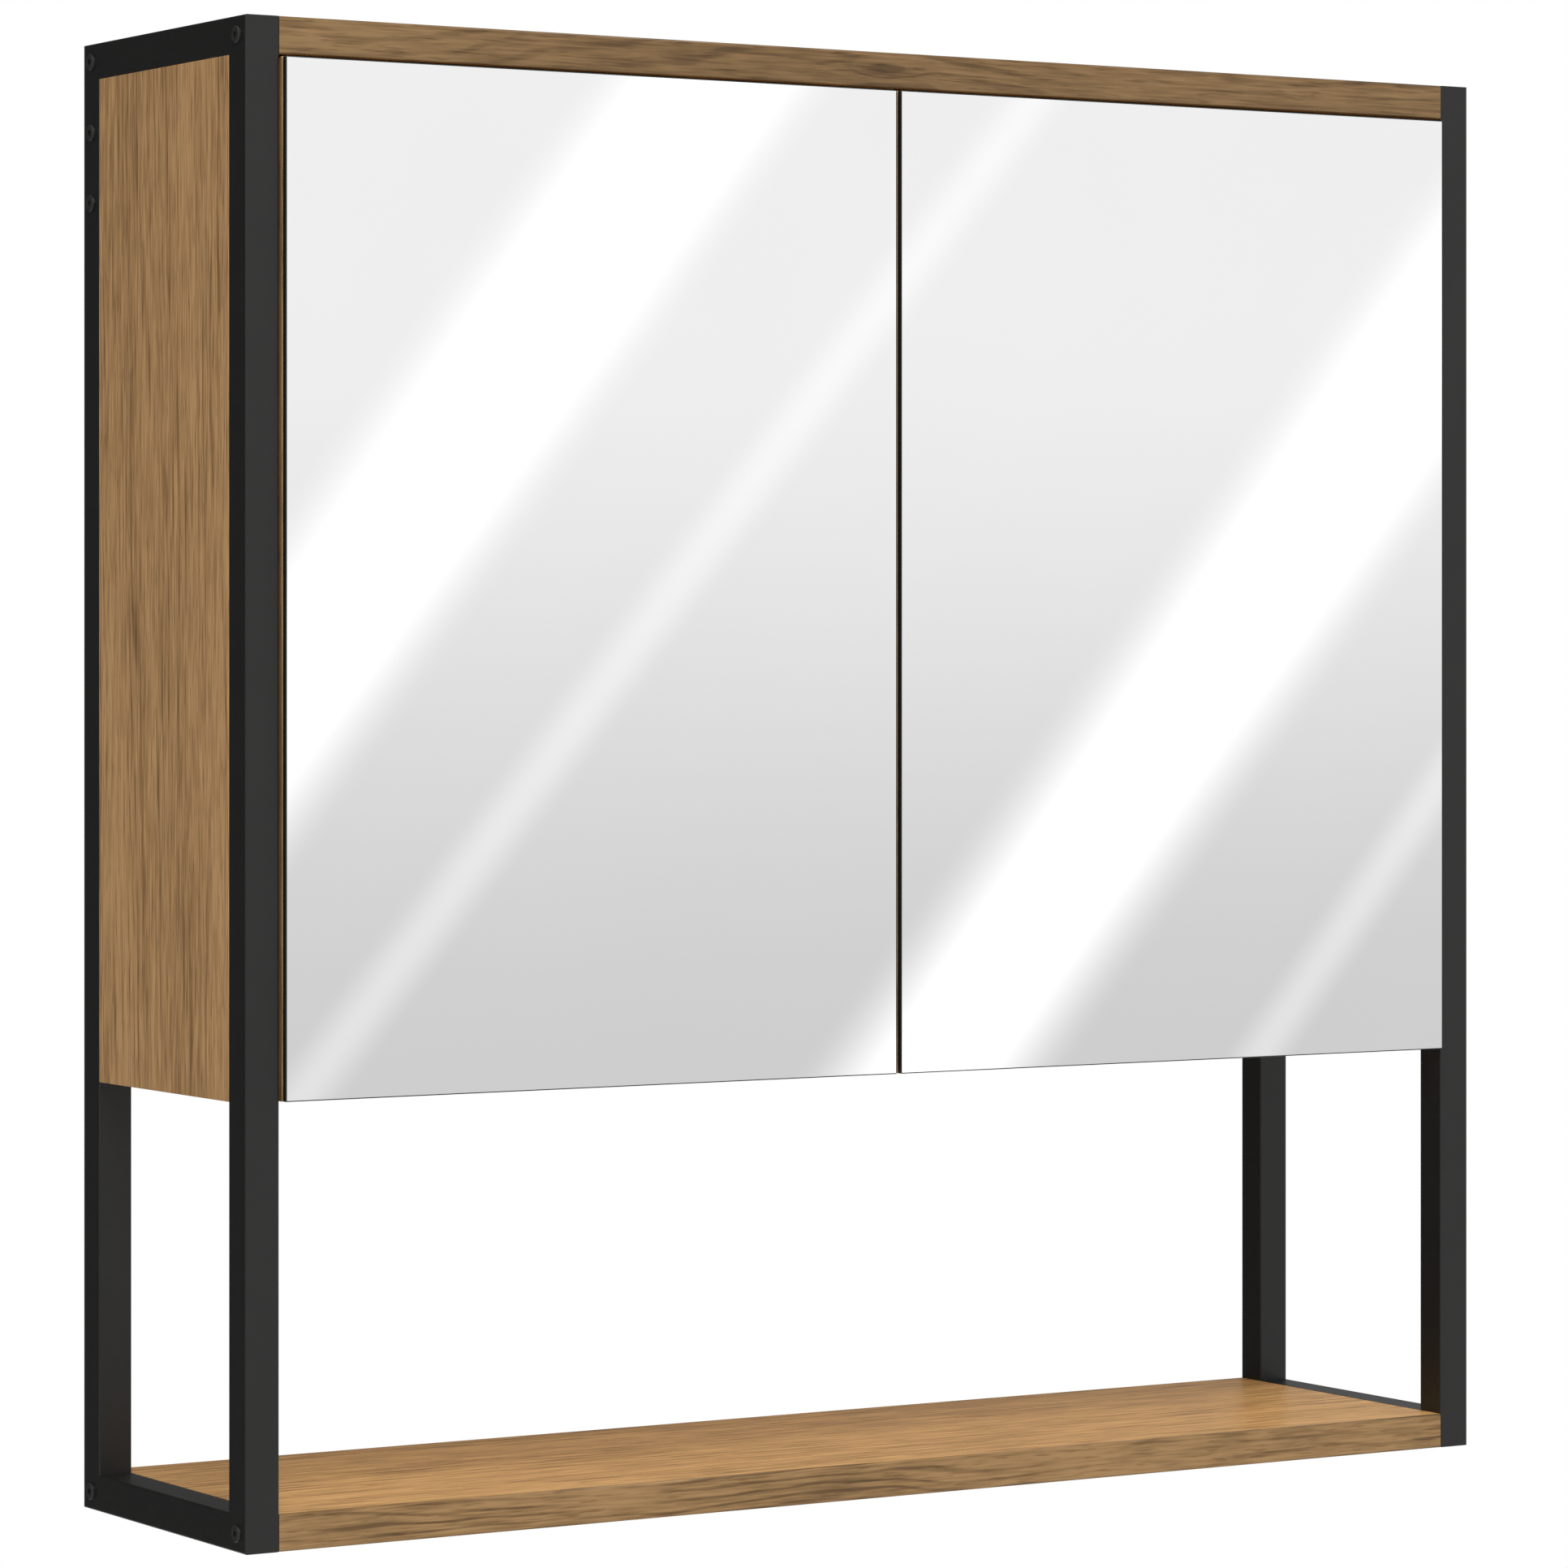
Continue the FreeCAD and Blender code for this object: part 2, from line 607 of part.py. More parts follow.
def hinge_cup(tag, rise):
    """Pressed cup and flange, with a trough across the cup for the arm and a slot for the link."""
    bowl = rod(f"bowl_{tag}", "y", (CUP_FLOOR, DOOR_BACK), (CUP_CENTRE, rise), "cup")
    flange = block(
        f"flange_{tag}", about(CUP_CENTRE, "2 * flange_margin"), (DOOR_BACK, FLANGE_FACE),
        about(rise, "flange_height"),
    )
    hollow = doc.addObject("Part::Common", f"hollow_{tag}")
    deep = (f"{CUP_FLOOR} + cup_wall", PAST_DOOR)
    hollow.Base = rod(f"hollow_round_{tag}", "y", deep, (CUP_CENTRE, rise), "cup - 2 * cup_wall")
    hollow.Tool = block(
        f"hollow_trough_{tag}", about(CUP_CENTRE, "cup"), (CUP_FLOOR, PAST_DOOR), about(rise, "trough"),
    )
    pin_hole = rod(f"cup_pin_hole_{tag}", "z", about(rise, CUP_PIN_LENGTH), CUP_PIN, "hinge_pin")
    tools = [hollow, link_slot(f"cup_slot_{tag}", rise), pin_hole]
    tools += cup_screw_holes(f"flange_hole_{tag}", rise, PAST_DOOR)
    return [cut_in_turn(f"cup_{tag}", join(f"cup_blank_{tag}", [bowl, flange]), tools)]


def low_screw(name, axis, span, centre, screw):
    """Wood screw of a named size, with a low tapered head standing on the far end of the shank's span."""
    body = rod(f"{name}_shank", axis, span, centre, screw)
    cap = taper(f"{name}_head", axis, (span[1], f"{span[1]} + low_head"), centre, f"{screw}_head", screw)
    return join(name, [body, cap])


def cup_screws(tag, rise):
    """Two screws that hold a cup's flange to the door."""
    return [
        low_screw(f"cup_screw_{tag}_{end}", "y", CUP_SCREW_SPAN, (CUP_SCREW_X, z), "cup_screw")
        for end, z in enumerate(about(rise, "cup_screw_pitch"))
    ]


def cup_pin(tag, rise):
    """Pin that carries the link in the cup."""
    return [rod(f"cup_pin_{tag}", "z", about(rise, CUP_PIN_LENGTH), CUP_PIN, "hinge_pin")]


def hinge_link(tag, rise):
    """Link between the cup pin and the arm pin: a bar with a round eye at each end."""
    run = "atan2(cup_pin_ahead - arm_pin_ahead; arm_pin_across - cup_pin_across)"
    reach = "sqrt((arm_pin_across - cup_pin_across)^2 + (cup_pin_ahead - arm_pin_ahead)^2)"
    bar = doc.addObject("Part::Box", f"link_bar_{tag}")
    bar.setExpression("Length", bound(reach))
    bar.setExpression("Width", bound("link"))
    bar.setExpression("Height", bound("link_width"))
    bar.Placement.Rotation = FreeCAD.Rotation(FreeCAD.Vector(0, 0, 1), 1)
    bar.setExpression("Placement.Rotation.Angle", bound(run))
    corner = (f"{CUP_PIN[0]} + link / 2 * sin({run})", f"{CUP_PIN[1]} - link / 2 * cos({run})")
    place(bar, x=corner[0], y=corner[1], z=about(rise, "link_width")[0])
    pins = list(enumerate((CUP_PIN, ARM_PIN)))
    eyes = [rod(f"link_eye_{tag}_{end}", "z", about(rise, "link_width"), pin, "link") for end, pin in pins]
    bores = [
        rod(f"link_hole_{tag}_{end}", "z", about(rise, "2 * link_width"), pin, "hinge_pin + hinge_play")
        for end, pin in pins
    ]
    return [cut(f"link_{tag}", join(f"link_blank_{tag}", [bar] + eyes), bores)]


# Outer line of the arm from its tip in the cup to its end, and the inner line of the web, which stays about
# one sheet inside it; each place is a distance across and a distance behind the door.
ARM_NOSE = "arm_pin_across - arm_nose"
ARM_TIP = "arm_pin_across + arm_tip"
ARM_FRONT = "(0 - arm_pin_ahead - arm_lead)"
ARM_SHOULDER = f"{ARM_TIP} - arm_shoulder_across"
ARM_OUTER_LINE = [
    (ARM_TIP, "arm_crook_behind"), (ARM_SHOULDER, "arm_shoulder_behind"), ("arm_rise", "arm_bend_behind"),
    ("arm_rise", "arm_end_behind"),
]
ARM_INNER_LINE = [
    ("arm_rise - arm_sheet", "arm_end_behind"),
    ("arm_rise - arm_sheet", "arm_bend_behind - 0.8 * arm_sheet"),
    (f"{ARM_SHOULDER} - 0.6 * arm_sheet", "arm_shoulder_behind - 0.9 * arm_sheet"),
    (f"{ARM_TIP} - arm_sheet", "arm_crook_behind - 0.3 * arm_sheet"),
    (f"{ARM_TIP} - arm_sheet", "arm_mouth_behind"),
]
ARM_CHEEK = [(ARM_NOSE, ARM_FRONT), (ARM_TIP, ARM_FRONT)] + ARM_OUTER_LINE + [
    ("arm_drop", "arm_end_behind"), ("arm_drop", "arm_pit_behind"),
    ("arm_pin_across - arm_throat_across", "arm_throat_behind"), (ARM_NOSE, "arm_mouth_behind"),
]
ARM_WEB = [(ARM_TIP, "arm_mouth_behind")] + ARM_OUTER_LINE + ARM_INNER_LINE


def hinge_arm(tag, rise):
    """Arm bent from sheet: two cheeks, and a web that joins them along their outer line."""
    cheek, web = ([(across(u), behind(v)) for u, v in line] for line in (ARM_CHEEK, ARM_WEB))
    inside, outside = "arm_width / 2 - arm_sheet", "arm_width / 2"
    shells = [
        outline(f"cheek_low_{tag}", cheek, f"{rise} - ({outside})", f"{rise} - ({inside})"),
        outline(f"web_{tag}", web, f"{rise} - ({inside})", f"{rise} + ({inside})"),
        outline(f"cheek_high_{tag}", cheek, f"{rise} + ({inside})", f"{rise} + ({outside})"),
    ]
    pin_hole = rod(f"arm_pin_hole_{tag}", "z", about(rise, "2 * arm_width"), ARM_PIN, "hinge_pin")
    web_hole = rod(f"web_hole_{tag}", "x", (LEFT_INNER, PAST_ARM), (PLATE_Y, rise), "arm_screw")
    return [cut(f"arm_{tag}", join(f"arm_blank_{tag}", shells), [pin_hole, web_hole])]


def arm_pin(tag, rise):
    """Pin that carries the link in the arm."""
    return [rod(f"arm_pin_{tag}", "z", about(rise, "arm_width"), ARM_PIN, "hinge_pin")]


def arm_screw(tag, rise):
    """Screw that clamps the arm to the mounting plate."""
    centre = (PLATE_Y, rise)
    shank = rod(f"arm_shank_{tag}", "x", (ARM_SCREW_TIP, ARM_FACE), centre, "arm_screw")
    head = rod(f"arm_head_{tag}", "x", (ARM_FACE, f"{ARM_FACE} + low_head"), centre, "arm_screw_head")
    return [join(f"arm_screw_{tag}", [shank, head])]


def hinge_plate(tag, rise):
    """Mounting plate: a flat wing on the side panel, and a rib that fills the arm."""
    wing = block(
        f"plate_wing_{tag}", (LEFT_INNER, PLATE_FACE), about(PLATE_Y, "plate_wing"),
        about(rise, "plate_height"),
    )
    rib = block(
        f"plate_rib_{tag}", (LEFT_INNER, across("arm_rise - arm_sheet")), about(PLATE_Y, "plate_rib"),
        about(rise, "arm_width - 2 * arm_sheet - 2 * hinge_play"),
    )
    tools = [rod(f"rib_hole_{tag}", "x", (ARM_SCREW_TIP, PAST_ARM), (PLATE_Y, rise), "arm_screw")]
    for end, z in enumerate(plate_screw_heights(rise)):
        span = (PLATE_SCREW_SPAN[0], f"{PLATE_FACE} + board")
        tools.append(rod(f"plate_hole_{tag}_{end}", "x", span, (PLATE_Y, z), "plate_screw"))
    return [cut(f"plate_{tag}", join(f"plate_blank_{tag}", [wing, rib]), tools)]


def plate_screws(tag, rise):
    """Two screws that hold a mounting plate to the side panel."""
    return [
        low_screw(f"plate_screw_{tag}_{end}", "x", PLATE_SCREW_SPAN, (PLATE_Y, z), "plate_screw")
        for end, z in enumerate(plate_screw_heights(rise))
    ]


HINGE_PIECES = {
    "hinge_cups": hinge_cup,
    "cup_pins": cup_pin,
    "cup_screws": cup_screws,
    "hinge_links": hinge_link,
    "hinge_arms": hinge_arm,
    "arm_pins": arm_pin,
    "arm_screws": arm_screw,
    "hinge_plates": hinge_plate,
    "plate_screws": plate_screws,
}

# ---------------------------------------------------------------- left door
door_tools = [tool for tag, rise in enumerate(HINGES) for tool in door_recess(tag, rise)]
door = cut_in_turn("door", block("door_blank", DOOR_X, (FRONT, DOOR_BACK), DOOR_Z), door_tools)

MIRROR_BACK = f"({FRONT} - tape)"
TAPE_Z = (f"{DOOR_LOW} + tape_margin", f"{DOOR_HIGH} - tape_margin")
TAPE_X = [
    (across("tape_margin"), across("tape_margin + tape_width")),
    about(f"(({DOOR_EDGE} - {DOOR_INNER}) / 2)", "tape_width"),
    (f"0 - {DOOR_INNER} - tape_margin - tape_width", f"0 - {DOOR_INNER} - tape_margin"),
]
tape_strips = [
    block(f"tape_{number}", span, (MIRROR_BACK, FRONT), TAPE_Z) for number, span in enumerate(TAPE_X)
]
BUMPER_CENTRE = (f"0 - {DOOR_INNER} - bumper_margin", f"{BODY_BASE} + board / 2")
bumper = rod("door_bumper", "y", (DOOR_BACK, FLOOR_FRONT), BUMPER_CENTRE, "bumper")

left_half = left_frame + [
    left_side_panel,
    left_dowels,
    node("left_door_board", door),
    node("left_mirror", block("left_mirror", DOOR_X, (f"{MIRROR_BACK} - mirror", MIRROR_BACK), DOOR_Z)),
    node("left_mirror_tape", group("left_mirror_tape", tape_strips)),
    node("left_door_bumper", bumper),
]
for kind, maker in HINGE_PIECES.items():
    made = [piece for tag, rise in enumerate(HINGES) for piece in maker(tag, rise)]
    left_half.append(node(f"left_{kind}", group(f"left_{kind}", made)))


# ---------------------------------------------------------------- the right half
for piece in left_half:
    name = piece.Label.replace("left", "right", 1)
    node(name, mirrored(name, piece))

# ---------------------------------------------------------------- checks and files
doc.recompute()
for item in doc.Objects:
    if "Invalid" in item.State or "Error" in item.State:
        raise RuntimeError(f"{item.Name} failed: {item.State}")
for name, solid in NODES.items():
    if solid.Shape.isNull() or not solid.Shape.isValid() or not solid.Shape.Solids:
        raise RuntimeError(f"{name} has no valid solid")

os.makedirs("parts", exist_ok=True)
for name, solid in NODES.items():
    solid.Shape.exportStep(f"parts/{name}.step")
print(len(NODES), "pieces written")
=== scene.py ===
"""Looks of a wall-hung bathroom cabinet: mirror doors and an open shelf between two black steel frames."""
import json
import math

import bpy
import numpy as np
from bpy.props import FloatProperty, FloatVectorProperty, PointerProperty
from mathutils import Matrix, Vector


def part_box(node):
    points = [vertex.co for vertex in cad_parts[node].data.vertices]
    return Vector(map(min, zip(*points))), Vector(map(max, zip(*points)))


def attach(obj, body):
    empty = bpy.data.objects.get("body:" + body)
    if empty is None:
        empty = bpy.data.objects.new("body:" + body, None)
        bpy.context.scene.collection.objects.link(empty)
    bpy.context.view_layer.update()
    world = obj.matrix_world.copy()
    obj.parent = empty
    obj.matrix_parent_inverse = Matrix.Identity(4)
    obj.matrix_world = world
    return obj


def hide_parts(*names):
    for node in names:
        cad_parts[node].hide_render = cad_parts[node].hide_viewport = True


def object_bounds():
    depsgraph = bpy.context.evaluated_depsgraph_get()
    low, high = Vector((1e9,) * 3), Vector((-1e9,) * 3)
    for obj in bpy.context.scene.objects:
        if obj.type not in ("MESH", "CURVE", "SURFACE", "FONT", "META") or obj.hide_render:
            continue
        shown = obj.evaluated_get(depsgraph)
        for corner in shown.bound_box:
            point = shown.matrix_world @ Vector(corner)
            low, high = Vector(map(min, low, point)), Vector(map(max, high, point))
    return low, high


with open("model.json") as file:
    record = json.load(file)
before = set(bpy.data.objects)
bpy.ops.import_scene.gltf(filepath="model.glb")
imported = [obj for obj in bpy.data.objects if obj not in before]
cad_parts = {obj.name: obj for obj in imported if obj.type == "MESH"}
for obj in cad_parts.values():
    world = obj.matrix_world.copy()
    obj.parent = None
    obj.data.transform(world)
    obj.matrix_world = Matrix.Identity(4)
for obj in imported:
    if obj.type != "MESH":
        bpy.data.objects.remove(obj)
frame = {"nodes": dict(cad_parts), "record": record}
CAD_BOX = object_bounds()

bl_info = {
    "name": "Mirror Cabinet Looks",
    "version": (1, 0, 0),
    "blender": (4, 5, 0),
    "location": "3D View > Sidebar > Cabinet",
    "description": "Finishes, trim and studio of a wall-hung mirror cabinet",
    "category": "Object",
}

MM = 0.001
SIDES = ("left", "right")
ALONG_X = (0.0, 0.0, 0.0)
ALONG_Z = (0.0, math.radians(90.0), 0.0)


# ---------------------------------------------------------------- colours and nodes
def linear(hex_colour):
    """Linear RGB of an sRGB hex colour such as #8f7050."""
    channels = [int(hex_colour[place:place + 2], 16) / 255.0 for place in (1, 3, 5)]
    return tuple(c / 12.92 if c <= 0.04045 else ((c + 0.055) / 1.055) ** 2.4 for c in channels)


def rgba(colour):
    """An RGB colour with full alpha, as a shader socket wants it."""
    return (*colour[:3], 1.0)


def add_node(tree, kind, sockets=None, **settings):
    """Add a node with its settings.

    A socket is given by name or number, and takes a value or another node's output.
    """
    made = tree.nodes.new(kind)
    for name, value in settings.items():
        setattr(made, name, value)
    for key, value in (sockets or {}).items():
        if isinstance(value, bpy.types.NodeSocket):
            tree.links.new(value, made.inputs[key])
        else:
            made.inputs[key].default_value = value
    return made


def start_material(name, **constants):
    """A new material with one Principled shader; its constant sockets are named with _ for a space."""
    material = bpy.data.materials.new(name)
    material.use_nodes = True
    tree = material.node_tree
    tree.nodes.clear()
    shader = add_node(tree, "ShaderNodeBsdfPrincipled")
    for key, value in constants.items():
        shader.inputs[key.replace("_", " ")].default_value = value
    add_node(tree, "ShaderNodeOutputMaterial", {"Surface": shader.outputs["BSDF"]})
    return material, tree, shader


def object_space(tree, scale=(1.0, 1.0, 1.0), turn=ALONG_X, shift=(0.0, 0.0, 0.0)):
    """Object coordinates, turned and then stretched."""
    coordinates = add_node(tree, "ShaderNodeTexCoord").outputs["Object"]
    turned = add_node(
        tree, "ShaderNodeMapping", {"Vector": coordinates, "Rotation": turn, "Location": shift}
    )
    stretched = add_node(
        tree, "ShaderNodeVectorMath", {0: turned.outputs["Vector"], 1: scale}, operation="MULTIPLY"
    )
    return stretched.outputs["Vector"]


def noise(tree, vector, size, detail=2.0, roughness=0.5):
    """Cloudy noise whose features measure about the given size in metres."""
    made = add_node(
        tree,
        "ShaderNodeTexNoise",
        {"Vector": vector, "Scale": 1.0 / size, "Detail": detail, "Roughness": roughness},
    )
    return made.outputs["Fac"]


def remap(tree, value, old, new, shape="LINEAR"):
    """Carry a value from one range to another, clamped."""
    made = add_node(
        tree,
        "ShaderNodeMapRange",
        {"Value": value, "From Min": old[0], "From Max": old[1], "To Min": new[0], "To Max": new[1]},
        interpolation_type=shape,
    )
    return made.outputs["Result"]


def maths(tree, operation, first, second=0.0):
    """One sum of two numbers or sockets."""
    return add_node(tree, "ShaderNodeMath", {0: first, 1: second}, operation=operation).outputs["Value"]


def ramp(tree, value, stops):
    """Colour ramp through (place, colour) stops."""
    made = add_node(tree, "ShaderNodeValToRGB", {"Fac": value})
    elements = made.color_ramp.elements
    while len(elements) < len(stops):
        elements.new(0.5)
    for element, (place, colour) in zip(elements, stops):
        element.position = place
        element.color = rgba(colour)
    return made.outputs["Color"]


def shade(tree, colour, darker, amount):
    """Multiply a colour by another where the amount is high."""
    made = add_node(
        tree,
        "ShaderNodeMix",
        {"Factor": amount, 6: colour, 7: rgba(darker)},
        data_type="RGBA",
        blend_type="MULTIPLY",
    )
    return made.outputs[2]


def bump(tree, shader, height, depth, strength=1.0):
    """Raise the surface by a height map whose full range is the given depth in metres."""
    made = add_node(tree, "ShaderNodeBump", {"Height": height, "Distance": depth, "Strength": strength})
    tree.links.new(made.outputs["Normal"], shader.inputs["Normal"])


# ---------------------------------------------------------------- properties
class CabinetFinishes(bpy.types.PropertyGroup):
    """Colours of the cabinet's finishes."""

    coat: FloatVectorProperty(
        name="Powder coat",
        description="Black of the steel frames",
        subtype="COLOR",
        default=linear("#121211"),
    )
    screw: FloatVectorProperty(
        name="Screw black",
        description="Black oxide of the frame screws",
        subtype="COLOR",
        default=linear("#2c2c2b"),
    )
    oak_pale: FloatVectorProperty(
        name="Oak, pale",
        description="Early wood of the decor",
        subtype="COLOR",
        default=linear("#c79d68"),
    )
    oak_middle: FloatVectorProperty(
        name="Oak, middle",
        description="Main tone of the decor",
        subtype="COLOR",
        default=linear("#ab8454"),
    )
    oak_dark: FloatVectorProperty(
        name="Oak, dark",
        description="Late wood of the decor",
        subtype="COLOR",
        default=linear("#7f5f39"),
    )
    silver: FloatVectorProperty(
        name="Silvering",
        description="Tint of the mirror",
        subtype="COLOR",
        default=linear("#f8f8f8"),
    )
    glass_edge: FloatVectorProperty(
        name="Glass edge",
        description="Ground edge of the mirror",
        subtype="COLOR",
        default=linear("#151b19"),
    )
    nickel: FloatVectorProperty(
        name="Nickel",
        description="Plating of the hinges",
        subtype="COLOR",
        default=linear("#bab7b0"),
    )


class CabinetSizes(bpy.types.PropertyGroup):
    """Small sizes that only show close up."""

    arris: FloatProperty(
        name="Mirror arris",
        description="Rounding of the ground glass edge",
        unit="LENGTH",
        default=0.5 * MM,
    )
    band_round: FloatProperty(
        name="Band rounding",
        description="Radius on the edge bands' front edges",
        unit="LENGTH",
        default=0.8 * MM,
    )
    panel_round: FloatProperty(
        name="Panel rounding",
        description="Radius on the side panels' edges",
        unit="LENGTH",
        default=0.4 * MM,
    )
    grain_pitch: FloatProperty(
        name="Grain pitch",
        description="Distance between growth lines",
        unit="LENGTH",
        default=6.0 * MM,
    )


class CabinetStudio(bpy.types.PropertyGroup):
    """Lights, camera and floor."""

    hang_height: FloatProperty(
        name="Hanging height",
        description="From the floor to the cabinet's base",
        unit="LENGTH",
        default=0.9,
    )
    lens: FloatProperty(name="Lens", description="Focal length", unit="CAMERA", default=136.5)
    heading: FloatProperty(
        name="Heading",
        description="Turn of the camera from straight ahead",
        subtype="ANGLE",
        default=math.radians(31.5),
    )
    room_light: FloatProperty(name="Room light", description="Light from all round", default=0.80)
    shade_light: FloatProperty(name="Shade light", description="Light from the shaded side", default=0.10)
    key_power: FloatProperty(
        name="Key power",
        description="Power of the overhead soft box",
        unit="POWER",
        default=70,
    )


# ---------------------------------------------------------------- surfaces
def grid_quads(*corners):
    """Four-sided faces of a grid, from four arrays that hold one corner of every face each."""
    return np.stack(corners, axis=-1).reshape(-1, 4)


def rounded_slab(low, high, radius, steps=3):
    """Box with rounded edges and corners, as points and faces.

    Each face is a grid of points on the plain box, with extra rows near its edges. Every point is then
    drawn back to the nearest point of a box one radius smaller all round, and set one radius out from there
    along the same line. Flats stay flat, edges become quarter cylinders and corners eighths of a ball.
    """
    low, high = np.array(low), np.array(high)
    lean = np.tan(np.linspace(math.pi / 4, 0.0, steps + 1))
    inset = radius * (1 - lean)
    rows = [np.concatenate((start + inset, (end - inset)[::-1])) for start, end in zip(low, high)]
    points, faces, count = [], [], 0
    for axis in range(3):
        first, second = (axis + 1) % 3, (axis + 2) % 3
        across, up = np.meshgrid(rows[first], rows[second], indexing="ij")
        corner = np.arange(across.size).reshape(across.shape)
        quads = grid_quads(corner[:-1, :-1], corner[1:, :-1], corner[1:, 1:], corner[:-1, 1:])
        for wall, order in ((high, 1), (low, -1)):
            grid = np.empty((across.size, 3))
            grid[:, axis] = wall[axis]
            grid[:, first] = across.ravel()
            grid[:, second] = up.ravel()
            points.append(grid)
            faces.append(quads[:, ::order] + count)
            count += across.size
    points, faces = np.concatenate(points), np.concatenate(faces)
    inner = np.clip(points, low + radius, high - radius)
    away = points - inner
    points = inner + radius * away / np.linalg.norm(away, axis=1, keepdims=True)
    whole, number = np.unique(np.round(points, 7), axis=0, return_inverse=True)
    return whole, number.reshape(-1)[faces].tolist()


def carried_profile(profile, start, end):
    """Closed Y-Z profile carried along X from start to end, with both ends closed.

    The side walls are a grid of the profile's angle and the distance along X; each end is one flat face.
    """
    turn = len(profile)
    across = np.tile(profile, (2, 1))
    along = np.repeat((start, end), turn)
    points = np.column_stack((along, across))
    here = np.arange(turn)
    after = np.roll(here, -1)
    walls = np.column_stack((here, here + turn, after + turn, after)).tolist()
    return points, walls + [here.tolist(), (here + turn)[::-1].tolist()]


def band_profile(low, high, radius, steps=6):
    """Section of an edge band in Y and Z: square at its back, a quarter circle at each front corner."""
    angle = np.linspace(0.0, math.pi / 2, steps + 1)
    front, back, base, top = low[1], high[1], low[2], high[2]
    by_sine, by_cosine = radius * (1 - np.sin(angle)), radius * (1 - np.cos(angle))
    lower = np.column_stack((front + by_sine, base + by_cosine))
    upper = np.column_stack((front + by_cosine, top - by_sine))
    return np.vstack(((back, base), lower, upper, (back, top)))


def cushion_dome(low, high, steps=(12, 40)):
    """Cushion-shaped bumper that stands on the plane of its least Y and swells towards greater Y.

    Its radius is the fourth root of one minus the fourth power of the height, turned about an axis along Y.
    The height and the turn are the grid's two parameters.
    """
    centre = (np.array(low) + np.array(high)) / 2
    reach = (high[0] - low[0]) / 2
    rise = np.linspace(0.0, 1.0, steps[0])[:-1]
    shrink = (1 - rise ** 4) ** 0.25
    angle = np.linspace(0.0, 2 * math.pi, steps[1], endpoint=False)
    radius, turn = np.meshgrid(shrink * reach, angle, indexing="ij")
    height = np.repeat(low[1] + rise * (high[1] - low[1]), steps[1])
    rings = np.column_stack((
        centre[0] + (radius * np.cos(turn)).ravel(), height, centre[2] + (radius * np.sin(turn)).ravel()
    ))
    points = np.vstack((rings, (centre[0], high[1], centre[2])))
    corner = np.arange(len(rings)).reshape(radius.shape)
    after = np.roll(corner, -1, axis=1)
    walls = grid_quads(corner[:-1], corner[1:], after[1:], after[:-1]).tolist()
    tip = len(rings)
    cap = np.column_stack((corner[-1], np.full(steps[1], tip), after[-1])).tolist()
    return points, walls + cap + [corner[0].tolist()]


def make_piece(name, surface, finishes, body, stands_for):
    """Put a surface into a mesh with its finishes, and set it in place of the CAD nodes it stands for."""
    points, faces = surface
    mesh = bpy.data.meshes.new(name)
    mesh.from_pydata(points.tolist(), [], faces)
    mesh.update()
    mesh.validate()
    for finish in finishes:
        mesh.materials.append(finish)
    smooth_rounds(mesh)
    piece = bpy.data.objects.new(name, mesh)
    bpy.context.scene.collection.objects.link(piece)
    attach(piece, body)
    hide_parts(*stands_for)
    return piece


def smooth_rounds(mesh):
    """Shade the rounded strips smooth, and leave the faces that look straight along an axis flat."""
    facing = np.empty(len(mesh.polygons) * 3)
    mesh.polygons.foreach_get("normal", facing)
    steepest = np.abs(facing.reshape(-1, 3)).max(axis=1)
    mesh.polygons.foreach_set("use_smooth", steepest < 0.99999)


def dress(names, material):
    """Give CAD nodes a material."""
    for name in names:
        slots = frame["nodes"][name].data.materials
        slots.clear()
        slots.append(material)


def on_both_sides(*pieces):
    """Names of a pair of nodes for each piece."""
    return [f"{side}_{piece}" for side in SIDES for piece in pieces]


def body_of(node):
    """The body that a CAD node belongs to."""
    bodies = frame["record"]["behaviour"]["bodies"]
    return next(body for body, members in bodies.items() if node in members)


# How many growth lines the slow clouds push the grain aside.
FLOW_PUSH = 11.0
# What the pores and the pale flecks multiply the decor's colour by.
PORE_SHADE = (0.70, 0.66, 0.60)
FLECK_GLEAM = (1.7, 1.75, 1.85)

# How each kind of board shows the decor; oak_decor's docstring says what the satin, figure, sway and drift
# values are. The tint multiplies the decor's colours; on the lying boards it is painted light.
PANEL_DECOR = {
    "turn": ALONG_Z, "tint": (0.98, 0.98, 1.07),
    "satin": 0.55, "gloss": 0.3, "figure": 0.12, "sway": 0.09, "drift": 0.3,
}
DOOR_DECOR = {
    "turn": ALONG_Z, "tint": (0.98, 0.98, 1.07),
    "satin": 0.5, "gloss": 0.3, "figure": 0.12, "sway": 0.08, "drift": 0.4,
}
# Painted light: the lying boards' tint makes them paler, standing for the sheen of light on their tops.
BOARD_DECOR = {
    "turn": ALONG_X, "tint": (1.27, 1.25, 1.17),
    "satin": 0.3, "gloss": 0.12, "figure": 0.12, "sway": 0.07, "drift": 0.15,
}
BAND_DECOR = {"turn": ALONG_X, "satin": 0.34, "gloss": 0.3, "sway": 0.22, "drift": 0.4}


# ---------------------------------------------------------------- materials
def powder_coated_steel(look):
    """Mild steel tube with a baked polyester powder coat: near black, satin, with a fine orange peel."""
    material, tree, shader = start_material("powder_coated_steel", Specular_IOR_Level=0.40)
    space = object_space(tree)
    cloud = noise(tree, space, 30 * MM)
    peel = noise(tree, space, 1.6 * MM, detail=3.0)
    tone = ramp(tree, cloud, [(0.3, [c * 0.9 for c in look.coat]), (0.7, [c * 1.12 for c in look.coat])])
    tree.links.new(tone, shader.inputs["Base Color"])
    tree.links.new(remap(tree, peel, (0.3, 0.7), (0.31, 0.43)), shader.inputs["Roughness"])
    bump(tree, shader, peel, 0.03 * MM, 0.5)
    return material


